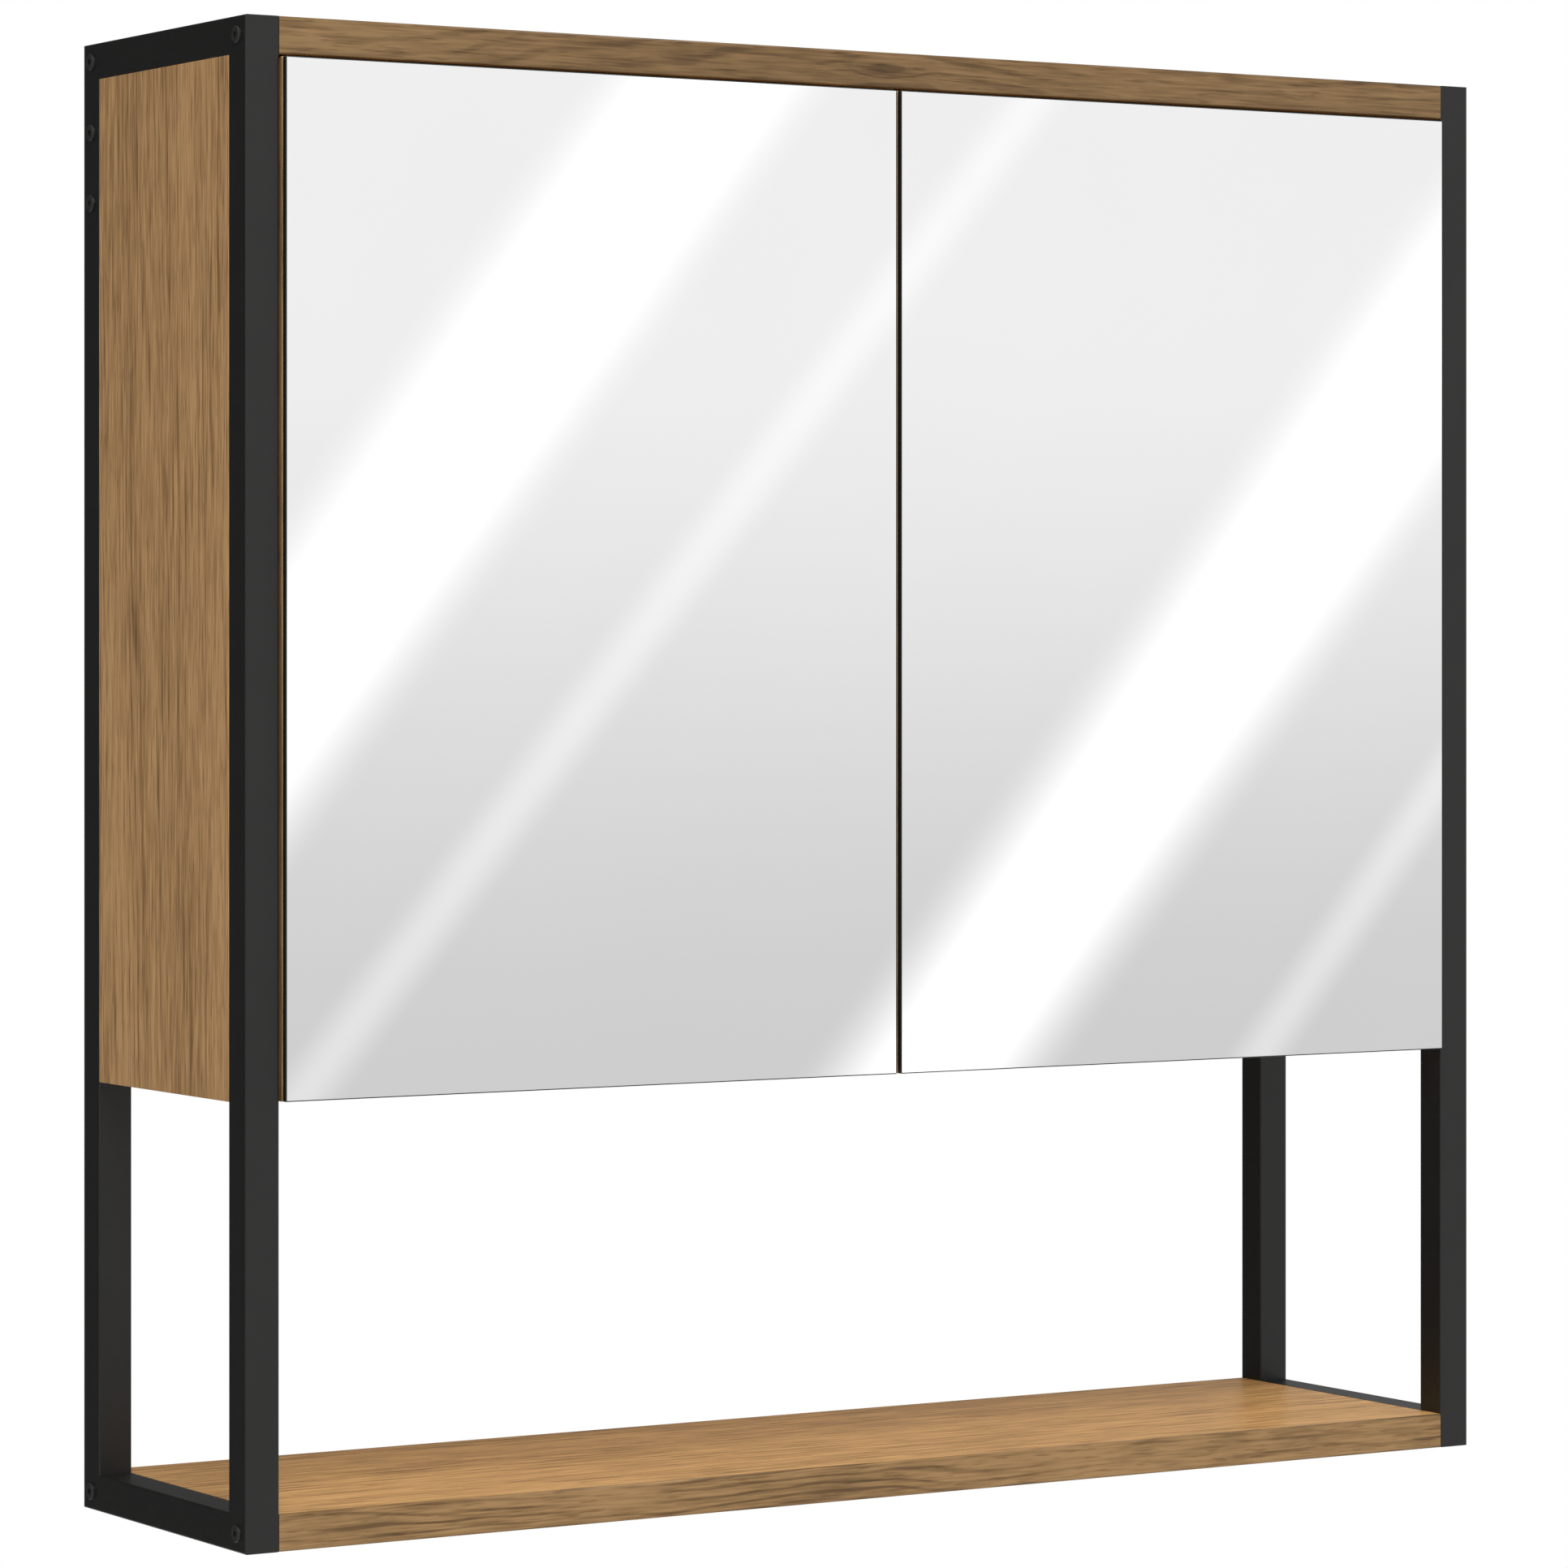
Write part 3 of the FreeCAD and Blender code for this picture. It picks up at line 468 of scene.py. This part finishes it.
def black_oxide_steel(look):
    """Screw steel blackened in hot oxide and oiled: dark, a little shinier than the coat round it."""
    material, tree, shader = start_material("black_oxide_steel", Metallic=0.35)
    space = object_space(tree)
    blotch = noise(tree, space, 2.5 * MM)
    tone = ramp(tree, blotch, [(0.3, [c * 0.8 for c in look.screw]), (0.7, [c * 1.3 for c in look.screw])])
    tree.links.new(tone, shader.inputs["Base Color"])
    tree.links.new(remap(tree, blotch, (0.3, 0.7), (0.30, 0.42)), shader.inputs["Roughness"])
    return material


def oak_decor(name, look, pitch, turn, shift, tint, satin, gloss, figure, sway, drift, knot=None):
    """Melamine-faced board with a printed oak decor, its face embossed by the press plate.

    Growth lines are even steps across the grain, pushed about by slow clouds that are long along the grain,
    so that they wander and sometimes close into arches; a knot pushes them round itself. Between them lie
    fibres about a millimetre wide, short dark pores and a few pale flecks. The satin value is the roughness
    of the smoothest spots, the figure value how dark the growth lines are, the sway value how short their
    waves are, and the drift value how much the tone wanders from place to place.
    """
    material, tree, shader = start_material(name, Specular_IOR_Level=gloss)
    flow_space = object_space(tree, (sway, 1.0, 1.0), turn, shift)
    fibre_space = object_space(tree, (0.04, 1.0, 1.0), turn, shift)
    pore_space = object_space(tree, (0.07, 1.0, 1.0), turn, shift)

    flow = noise(tree, flow_space, 60 * MM, detail=3.0, roughness=0.5)
    place = add_node(tree, "ShaderNodeSeparateXYZ", {"Vector": flow_space})
    across = maths(tree, "ADD", place.outputs["Y"], place.outputs["Z"])
    steps = maths(tree, "DIVIDE", across, pitch)
    phase = maths(tree, "ADD", steps, maths(tree, "MULTIPLY", flow, FLOW_PUSH))
    if knot:
        centre = [(along + moved) * stretch for along, moved, stretch in zip(knot, shift, (sway, 1.0, 1.0))]
        reach = add_node(
            tree, "ShaderNodeVectorMath", {0: flow_space, 1: centre}, operation="DISTANCE"
        ).outputs["Value"]
        phase = maths(tree, "ADD", phase, remap(tree, reach, (0.0, 7 * MM), (1.4, 0.0), "SMOOTHSTEP"))
        eye = remap(tree, reach, (1 * MM, 4 * MM), (0.12, 0.0), "SMOOTHSTEP")
    wave = maths(tree, "SINE", maths(tree, "MULTIPLY", phase, 2 * math.pi))
    lines = remap(tree, wave, (0.15, 1.0), (0.0, 1.0), "SMOOTHSTEP")
    patches = noise(tree, flow_space, 16 * MM, detail=3.0)
    lines = maths(tree, "MULTIPLY", lines, remap(tree, patches, (0.40, 0.62), (0.05, 1.0), "SMOOTHSTEP"))

    fibres = noise(tree, fibre_space, 1.2 * MM, detail=2.0, roughness=0.6)
    cloud = noise(tree, flow_space, 30 * MM, detail=1.0)
    pores = remap(tree, noise(tree, pore_space, 1.0 * MM, detail=1.0), (0.60, 0.72), (0.0, 1.0))
    fine = maths(tree, "MULTIPLY", fibres, 1.0 - drift)
    tone = maths(tree, "ADD", fine, maths(tree, "MULTIPLY", cloud, drift))
    blotch = maths(tree, "SUBTRACT", noise(tree, flow_space, 5 * MM, detail=3.0), 0.5)
    tone = maths(tree, "ADD", tone, maths(tree, "MULTIPLY", blotch, 1.8 * figure))
    tone = maths(tree, "SUBTRACT", tone, maths(tree, "MULTIPLY", lines, figure))
    if knot:
        tone = maths(tree, "SUBTRACT", tone, eye)

    # The tint scales the decor's colours; on the lying boards and the edge bands it is painted light and
    # shade, with paler tops and darker fronts.
    tones = (look.oak_dark, look.oak_middle, look.oak_pale)
    dark, middle, pale = ([c * t for c, t in zip(colour, tint)] for colour in tones)
    colour = ramp(tree, tone, [(0.28, dark), (0.45, middle), (0.62, pale)])
    colour = shade(tree, colour, PORE_SHADE, pores)
    spots = add_node(tree, "ShaderNodeTexVoronoi", {"Vector": pore_space, "Scale": 1.0 / (36 * MM)})
    flecks = remap(tree, spots.outputs["Distance"], (0.012, 0.03), (0.8, 0.0))
    colour = shade(tree, colour, FLECK_GLEAM, flecks)
    tree.links.new(colour, shader.inputs["Base Color"])
    tree.links.new(remap(tree, fibres, (0.3, 0.7), (satin, satin + 0.10)), shader.inputs["Roughness"])
    bump(tree, shader, maths(tree, "SUBTRACT", fibres, pores), 0.04 * MM, 0.3)
    return material


def printed_fibreboard(look):
    """Thin high-density fibreboard: a printed foil on a brown pressed sheet, matt, with short fibres."""
    material, tree, shader = start_material("printed_fibreboard", Roughness=0.7)
    space = object_space(tree)
    flecks = noise(tree, space, 1.4 * MM, detail=4.0)
    cloud = noise(tree, space, 60 * MM)
    mixed = maths(tree, "ADD", maths(tree, "MULTIPLY", flecks, 0.7), maths(tree, "MULTIPLY", cloud, 0.3))
    stops = [(0.30, [c * 0.70 for c in look.oak_dark]), (0.70, [c * 0.72 for c in look.oak_middle])]
    tree.links.new(ramp(tree, mixed, stops), shader.inputs["Base Color"])
    bump(tree, shader, flecks, 0.05 * MM, 0.3)
    return material


def silvered_glass(look):
    """Float glass silvered on its back: a clean mirror whose tint comes from the glass."""
    material, tree, shader = start_material("silvered_glass", Metallic=1.0)
    breath = noise(tree, object_space(tree), 90 * MM)
    stops = [(0.3, look.silver), (0.7, [c * 0.99 for c in look.silver])]
    tree.links.new(ramp(tree, breath, stops), shader.inputs["Base Color"])
    tree.links.new(remap(tree, breath, (0.3, 0.7), (0.004, 0.012)), shader.inputs["Roughness"])
    return material


def ground_glass_edge(look):
    """Edge of the glass, ground and polished on a belt: it looks almost black green along the silvering."""
    material, tree, shader = start_material("ground_glass_edge", IOR=1.52)
    scratches = noise(tree, object_space(tree, (1.0, 6.0, 1.0)), 0.8 * MM, detail=3.0)
    stops = [(0.3, [c * 0.7 for c in look.glass_edge]), (0.7, [c * 1.6 for c in look.glass_edge])]
    tree.links.new(ramp(tree, scratches, stops), shader.inputs["Base Color"])
    tree.links.new(remap(tree, scratches, (0.3, 0.7), (0.18, 0.34)), shader.inputs["Roughness"])
    return material


def mirror_backing_paint():
    """Grey protective paint rolled on the back of the silvering."""
    material, tree, shader = start_material("mirror_backing_paint", Roughness=0.6)
    roller = noise(tree, object_space(tree), 3.0 * MM, detail=3.0)
    stops = [(0.3, linear("#5d6163")), (0.7, linear("#6d7173"))]
    tree.links.new(ramp(tree, roller, stops), shader.inputs["Base Color"])
    bump(tree, shader, roller, 0.03 * MM, 0.4)
    return material


def plated_metal(name, colour, smoothness, grain):
    """Plated or drawn metal: bright, with a faint grain from pressing or drawing in gloss and colour."""
    material, tree, shader = start_material(name, Metallic=1.0)
    texture = noise(tree, object_space(tree), grain, detail=3.0)
    stops = [(0.3, [c * 0.95 for c in colour]), (0.7, [min(1.0, c * 1.04) for c in colour])]
    tree.links.new(ramp(tree, texture, stops), shader.inputs["Base Color"])
    tree.links.new(remap(tree, texture, (0.3, 0.7), smoothness), shader.inputs["Roughness"])
    bump(tree, shader, texture, 0.01 * MM, 0.1)
    return material


def closed_cell_foam():
    """Black polyethylene foam tape: matt, with open cells along its cut edge."""
    material, tree, shader = start_material("closed_cell_foam", Roughness=0.9)
    cells = add_node(
        tree, "ShaderNodeTexVoronoi", {"Vector": object_space(tree), "Scale": 1.0 / (0.5 * MM)}
    ).outputs["Distance"]
    stops = [(0.0, linear("#101010")), (0.7, linear("#262626"))]
    tree.links.new(ramp(tree, cells, stops), shader.inputs["Base Color"])
    bump(tree, shader, cells, 0.1 * MM, 0.5)
    return material


def clear_silicone():
    """Moulded silicone bumper: milky clear and soft in its gloss."""
    material, tree, shader = start_material("clear_silicone", IOR=1.41, Transmission_Weight=0.7)
    haze = noise(tree, object_space(tree), 2.0 * MM)
    stops = [(0.3, linear("#dfe3e1")), (0.7, linear("#eef0ef"))]
    tree.links.new(ramp(tree, haze, stops), shader.inputs["Base Color"])
    tree.links.new(remap(tree, haze, (0.3, 0.7), (0.25, 0.4)), shader.inputs["Roughness"])
    return material


# ---------------------------------------------------------------- pieces
class CABINET_OT_frames(bpy.types.Operator):
    """Coat the steel side frames and blacken their screws"""

    bl_idname = "cabinet.frames"
    bl_label = "Side frames"

    def execute(self, context):
        look = context.scene.cabinet_finishes
        tubes = on_both_sides("front_post", "rear_post", "top_rail", "bottom_rail")
        dress(tubes, powder_coated_steel(look))
        dress(["top_board_screws", "hanging_rail_screws", "open_shelf_screws"], black_oxide_steel(look))
        return {"FINISHED"}


class CABINET_OT_side_panels(bpy.types.Operator):
    """Set the decor panels with upright grain into the side frames"""

    bl_idname = "cabinet.side_panels"
    bl_label = "Side panels"

    def execute(self, context):
        look, sizes = context.scene.cabinet_finishes, context.scene.cabinet_sizes
        for side, shift in zip(SIDES, ((0.13, 0.21, 0.36), (0.4, 0.1, 0.6))):
            node = f"{side}_side_panel"
            name = f"{side}_panel_oak_foil"
            decor = oak_decor(name, look, sizes.grain_pitch, shift=shift, **PANEL_DECOR)
            slab = rounded_slab(*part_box(node), sizes.panel_round)
            make_piece(f"{node}_faced", slab, [decor], body_of(node), [node])
        return {"FINISHED"}


class CABINET_OT_boards(bpy.types.Operator):
    """Give the boards of the body and the doors their oak decor, and the back its fibreboard"""

    bl_idname = "cabinet.boards"
    bl_label = "Boards"

    def execute(self, context):
        look, sizes = context.scene.cabinet_finishes, context.scene.cabinet_sizes
        pitch = sizes.grain_pitch
        lying = oak_decor("board_oak_foil", look, pitch, shift=(0.0, 0.34, 0.12), **BOARD_DECOR)
        dress(["top_board", "open_shelf", "cabinet_floor", "inner_shelf", "hanging_rail"], lying)
        upright = oak_decor("door_oak_foil", look, pitch, shift=(0.2, 0.3, 0.1), **DOOR_DECOR)
        dress(on_both_sides("door_board"), upright)
        dress(["back_panel"], printed_fibreboard(look))
        return {"FINISHED"}


# The knot in the top board's edge band, as a share of the band's length.
KNOT_PLACE = 0.49
# Where each band is cut from the decor, how much its decor is darkened, and how strong its growth lines
# are. The darkening is painted shade on the band fronts.
BANDS = {
    "top_board_edging": ((0.37, 0.2, 0.0), 0.365, 0.12),
    "open_shelf_edging": ((0.1, 0.2, 0.07), 0.53, 0.19),
    "cabinet_floor_edging": ((0.2, 0.2, 0.14), 0.50, 0.15),
    "inner_shelf_edging": ((0.3, 0.2, 0.21), 0.50, 0.15),
}


class CABINET_OT_edge_bands(bpy.types.Operator):
    """Lay the rounded edge bands on the boards' fronts"""

    bl_idname = "cabinet.edge_bands"
    bl_label = "Edge bands"

    def execute(self, context):
        look, sizes = context.scene.cabinet_finishes, context.scene.cabinet_sizes
        low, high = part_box("top_board_edging")
        along = low[0] + KNOT_PLACE * (high[0] - low[0])
        knots = {"top_board_edging": (along, low[1], (low[2] + high[2]) / 2)}
        for node, (shift, tone, figure) in BANDS.items():
            # The band's tone, given as its tint, is painted shade: it darkens the band's front.
            decor = oak_decor(
                f"{node}_oak",
                look,
                sizes.grain_pitch,
                shift=shift,
                tint=(tone, tone, tone),
                figure=figure,
                knot=knots.get(node),
                **BAND_DECOR,
            )
            low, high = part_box(node)
            profile = band_profile(low, high, sizes.band_round)
            band = carried_profile(profile, low[0], high[0])
            make_piece(f"{node}_band", band, [decor], body_of(node), [node])
        return {"FINISHED"}


class CABINET_OT_mirrors(bpy.types.Operator):
    """Make the two mirror panes with their ground edges, and the tape that holds them"""

    bl_idname = "cabinet.mirrors"
    bl_label = "Mirrors"

    def execute(self, context):
        look, sizes = context.scene.cabinet_finishes, context.scene.cabinet_sizes
        finishes = [silvered_glass(look), ground_glass_edge(look), mirror_backing_paint()]
        for side in SIDES:
            node = f"{side}_mirror"
            slab = rounded_slab(*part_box(node), sizes.arris)
            piece = make_piece(f"{node}_pane", slab, finishes, body_of(node), [node])
            mesh = piece.data
            facing = np.empty(len(mesh.polygons) * 3)
            mesh.polygons.foreach_get("normal", facing)
            outward = facing[1::3]
            which = np.where(outward < -0.999, 0, np.where(outward > 0.999, 2, 1))
            mesh.polygons.foreach_set("material_index", which)
        dress(on_both_sides("mirror_tape"), closed_cell_foam())
        return {"FINISHED"}


class CABINET_OT_hinges(bpy.types.Operator):
    """Plate the concealed hinges and their screws"""

    bl_idname = "cabinet.hinges"
    bl_label = "Hinges"

    def execute(self, context):
        look = context.scene.cabinet_finishes
        nickel = plated_metal("nickel_plated_pressing", look.nickel, (0.26, 0.34), 4 * MM)
        dress(on_both_sides("hinge_arms", "hinge_plates", "hinge_links", "hinge_cups"), nickel)
        drawn = plated_metal("drawn_steel_pin", linear("#c8c8c6"), (0.22, 0.36), 1 * MM)
        dress(on_both_sides("arm_pins", "cup_pins"), drawn)
        zinc = plated_metal("zinc_plated_screw", linear("#c3c7ca"), (0.24, 0.40), 1.5 * MM)
        dress(on_both_sides("arm_screws", "plate_screws", "cup_screws"), zinc)
        return {"FINISHED"}


class CABINET_OT_fittings(bpy.types.Operator):
    """Finish the cams, bolts, dowels and shelf pins"""

    bl_idname = "cabinet.fittings"
    bl_label = "Fittings"

    def execute(self, context):
        zinc = plated_metal("die_cast_zinc", linear("#a9aaa8"), (0.38, 0.55), 1.2 * MM)
        dress(["floor_cams"], zinc)
        bolt = plated_metal("zinc_plated_bolt", linear("#c3c7ca"), (0.26, 0.40), 1.5 * MM)
        dress(["floor_cam_bolts"], bolt)
        pin = plated_metal("nickel_plated_pin", linear("#bfbdb7"), (0.2, 0.3), 2 * MM)
        dress(["shelf_pins"], pin)
        dowel = plated_metal("turned_steel_dowel", linear("#b5b5b3"), (0.3, 0.45), 1 * MM)
        dress(on_both_sides("panel_dowels"), dowel)
        return {"FINISHED"}


class CABINET_OT_bumpers(bpy.types.Operator):
    """Mould the soft bumpers on the backs of the doors"""

    bl_idname = "cabinet.bumpers"
    bl_label = "Bumpers"

    def execute(self, context):
        silicone = clear_silicone()
        for node in on_both_sides("door_bumper"):
            dome = cushion_dome(*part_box(node))
            make_piece(f"{node}_moulded", dome, [silicone], body_of(node), [node])
        return {"FINISHED"}


# ---------------------------------------------------------------- studio
FLOOR_REACH = 2.6
FLOOR_RINGS = 6
FLOOR_SPOKES = 64


def studio_floor(low, drop):
    """Pale painted floor: a round sheet well below the cabinet, out of sight from straight ahead."""
    radius = np.linspace(0.0, FLOOR_REACH, FLOOR_RINGS + 1)[1:]
    angle = np.linspace(0.0, 2 * math.pi, FLOOR_SPOKES, endpoint=False)
    distance, turn = np.meshgrid(radius, angle, indexing="ij")
    level = np.full(distance.size, low[2] - drop)
    points = np.column_stack(((distance * np.cos(turn)).ravel(), (distance * np.sin(turn)).ravel(), level))
    corner = np.arange(distance.size).reshape(distance.shape)
    after = np.roll(corner, -1, axis=1)
    walls = grid_quads(corner[:-1], corner[1:], after[1:], after[:-1]).tolist()
    mesh = bpy.data.meshes.new("studio_floor")
    mesh.from_pydata(points.tolist(), [], walls + [corner[0].tolist()])
    material, tree, shader = start_material("pale_floor_paint", Roughness=0.8)
    cloud = noise(tree, object_space(tree), 0.3)
    stops = [(0.3, linear("#eeeeec")), (0.7, linear("#f4f4f2"))]
    tree.links.new(ramp(tree, cloud, stops), shader.inputs["Base Color"])
    mesh.materials.append(material)
    floor = bpy.data.objects.new("studio_floor", mesh)
    bpy.context.scene.collection.objects.link(floor)


# The reflector stands behind and to the right of the camera, so it shows only in the mirrors.
REFLECTOR_Y = -3.5
REFLECTOR_X = (0.9, 3.5)
REFLECTOR_Z = (-1.0, 0.75)
# Brightness of the lamps behind its light strips, where 1 is plain white.
STRIP_WHITE = 1.30
# Each strip: lean from upright in degrees, distance from the world's origin across it, width, edge
# softness, and how much of the lamp comes through.
STRIPS = (
    (51.9, 1.245, 0.143, 0.12, 1.0),
    (49.7, 1.509, 0.045, 0.045, 0.25),
    (49.6, 2.112, 0.160, 0.13, 1.0),
    (49.7, 2.456, 0.045, 0.045, 0.25),
)


def studio_reflector():
    """White board that fades towards its foot, with slanting light strips, seen only in reflections."""
    across, up = np.meshgrid(np.linspace(*REFLECTOR_X, 9), np.linspace(*REFLECTOR_Z, 7), indexing="ij")
    corner = np.arange(across.size).reshape(across.shape)
    points = np.column_stack((across.ravel(), np.full(across.size, REFLECTOR_Y), up.ravel()))
    quads = grid_quads(corner[:-1, :-1], corner[:-1, 1:], corner[1:, 1:], corner[1:, :-1])
    mesh = bpy.data.meshes.new("studio_reflector")
    mesh.from_pydata(points.tolist(), [], quads.tolist())
    material = bpy.data.materials.new("lit_white_board")
    material.use_nodes = True
    tree = material.node_tree
    tree.nodes.clear()
    place = add_node(tree, "ShaderNodeSeparateXYZ", {"Vector": object_space(tree)})
    light = remap(tree, place.outputs["Z"], (-0.70, 0.16), (0.66, 0.92), "SMOOTHSTEP")
    for lean, centre, width, softness, share in STRIPS:
        across_strip = (math.sin(math.radians(lean)), 0.0, -math.cos(math.radians(lean)))
        distance = add_node(
            tree, "ShaderNodeVectorMath", {0: object_space(tree), 1: across_strip}, operation="DOT_PRODUCT"
        ).outputs["Value"]
        away = maths(tree, "ABSOLUTE", maths(tree, "SUBTRACT", distance, centre))
        edge = (width / 2 - softness / 2, width / 2 + softness / 2)
        lit = remap(tree, away, edge, (share, 0.0), "SMOOTHSTEP")
        missing = maths(tree, "SUBTRACT", STRIP_WHITE, light)
        light = maths(tree, "ADD", light, maths(tree, "MULTIPLY", lit, missing))
    glow = add_node(tree, "ShaderNodeEmission", {"Strength": light})
    add_node(tree, "ShaderNodeOutputMaterial", {"Surface": glow.outputs["Emission"]})
    mesh.materials.append(material)
    board = bpy.data.objects.new("studio_reflector", mesh)
    bpy.context.scene.collection.objects.link(board)
    board.visible_camera = False
    board.visible_diffuse = False
    board.visible_shadow = False


# The room is darker behind the cabinet, which keeps the frames' outer sides deep black and the shelf clear.
SHADY_SIDE = Vector((-0.35, 1.0, 0.0)).normalized()


def studio_world(studio):
    """Soft white room with one shaded side, and white where it is seen directly."""
    world = bpy.data.worlds.new("white_room")
    world.use_nodes = True
    tree = world.node_tree
    tree.nodes.clear()
    direction = add_node(tree, "ShaderNodeTexCoord").outputs["Generated"]
    shady_way = add_node(
        tree, "ShaderNodeVectorMath", {0: direction, 1: SHADY_SIDE}, operation="DOT_PRODUCT"
    ).outputs["Value"]
    room = remap(tree, shady_way, (0.15, 0.75), (studio.room_light, studio.shade_light), "SMOOTHSTEP")
    seen = add_node(tree, "ShaderNodeLightPath").outputs["Is Camera Ray"]
    strength = add_node(tree, "ShaderNodeMix", {"Factor": seen, 2: room, 3: 1.0}, data_type="FLOAT")
    white = (1.0, 1.0, 1.0, 1.0)
    sky = add_node(tree, "ShaderNodeBackground", {"Strength": strength.outputs[0], "Color": white})
    add_node(tree, "ShaderNodeOutputWorld", {"Surface": sky.outputs["Background"]})
    bpy.context.scene.world = world


def soft_box(name, place, target, size, power):
    """Square area light at a place, turned to a target."""
    lamp = bpy.data.lights.new(name, "AREA")
    lamp.size = size
    lamp.energy = power
    light = bpy.data.objects.new(name, lamp)
    light.location = place
    light.rotation_euler = (Vector(target) - Vector(place)).to_track_quat("-Z", "Y").to_euler()
    bpy.context.scene.collection.objects.link(light)


# Where the camera stands, from the left front post's low corner, its sensor's width and its lens shift.
CAMERA_STAND = Vector((-1.1162, -2.2562, 0.3898))
SENSOR_WIDTH = 36.0
FRAME_SHIFT = -0.0977
KEY_PLACE = (-0.6, -2.0, 1.9)
KEY_SIZE = 1.6


class CABINET_OT_studio(bpy.types.Operator):
    """Set up the camera, the floor, the room light and the soft boxes"""

    bl_idname = "cabinet.studio"
    bl_label = "Studio"

    def execute(self, context):
        studio = context.scene.cabinet_studio
        low, high = CAD_BOX
        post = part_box("left_front_post")
        optics = bpy.data.cameras.new("camera")
        optics.lens = studio.lens
        optics.sensor_width = SENSOR_WIDTH
        optics.shift_y = FRAME_SHIFT
        camera = bpy.data.objects.new("camera", optics)
        camera.location = Vector(post[0]) + CAMERA_STAND
        camera.rotation_euler = (math.radians(90.0), 0.0, -studio.heading)
        context.scene.collection.objects.link(camera)
        context.scene.camera = camera
        context.scene.view_settings.view_transform = "Standard"
        studio_world(studio)
        studio_floor(low, studio.hang_height)
        studio_reflector()
        soft_box("key_box", KEY_PLACE, (low + high) / 2, KEY_SIZE, studio.key_power)
        return {"FINISHED"}


class CABINET_PT_sidebar(bpy.types.Panel):
    """The cabinet's pieces and their values"""

    bl_idname = "CABINET_PT_sidebar"
    bl_label = "Mirror cabinet"
    bl_space_type = "VIEW_3D"
    bl_region_type = "UI"
    bl_category = "Cabinet"

    def draw(self, context):
        for group in GROUPS:
            values = getattr(context.scene, group)
            box = self.layout.box()
            for name in values.__annotations__:
                box.prop(values, name)
        for step in STEPS:
            self.layout.operator(step.bl_idname)


STEPS = (
    CABINET_OT_studio,
    CABINET_OT_frames,
    CABINET_OT_side_panels,
    CABINET_OT_boards,
    CABINET_OT_edge_bands,
    CABINET_OT_mirrors,
    CABINET_OT_hinges,
    CABINET_OT_fittings,
    CABINET_OT_bumpers,
)
GROUPS = {
    "cabinet_finishes": CabinetFinishes,
    "cabinet_sizes": CabinetSizes,
    "cabinet_studio": CabinetStudio,
}


def register():
    """Register the property groups, the operators and the panel."""
    for kind in (*GROUPS.values(), *STEPS, CABINET_PT_sidebar):
        bpy.utils.register_class(kind)
    for name, kind in GROUPS.items():
        setattr(bpy.types.Scene, name, PointerProperty(type=kind))


def unregister():
    """Take everything out again, in reverse."""
    for name in reversed(GROUPS):
        delattr(bpy.types.Scene, name)
    for kind in reversed((*GROUPS.values(), *STEPS, CABINET_PT_sidebar)):
        bpy.utils.unregister_class(kind)


def main():
    register()
    bpy.ops.cabinet.studio()
    bpy.ops.cabinet.frames()
    bpy.ops.cabinet.side_panels()
    bpy.ops.cabinet.boards()
    bpy.ops.cabinet.edge_bands()
    bpy.ops.cabinet.mirrors()
    bpy.ops.cabinet.hinges()
    bpy.ops.cabinet.fittings()
    bpy.ops.cabinet.bumpers()


if __name__ == "__main__":
    main()
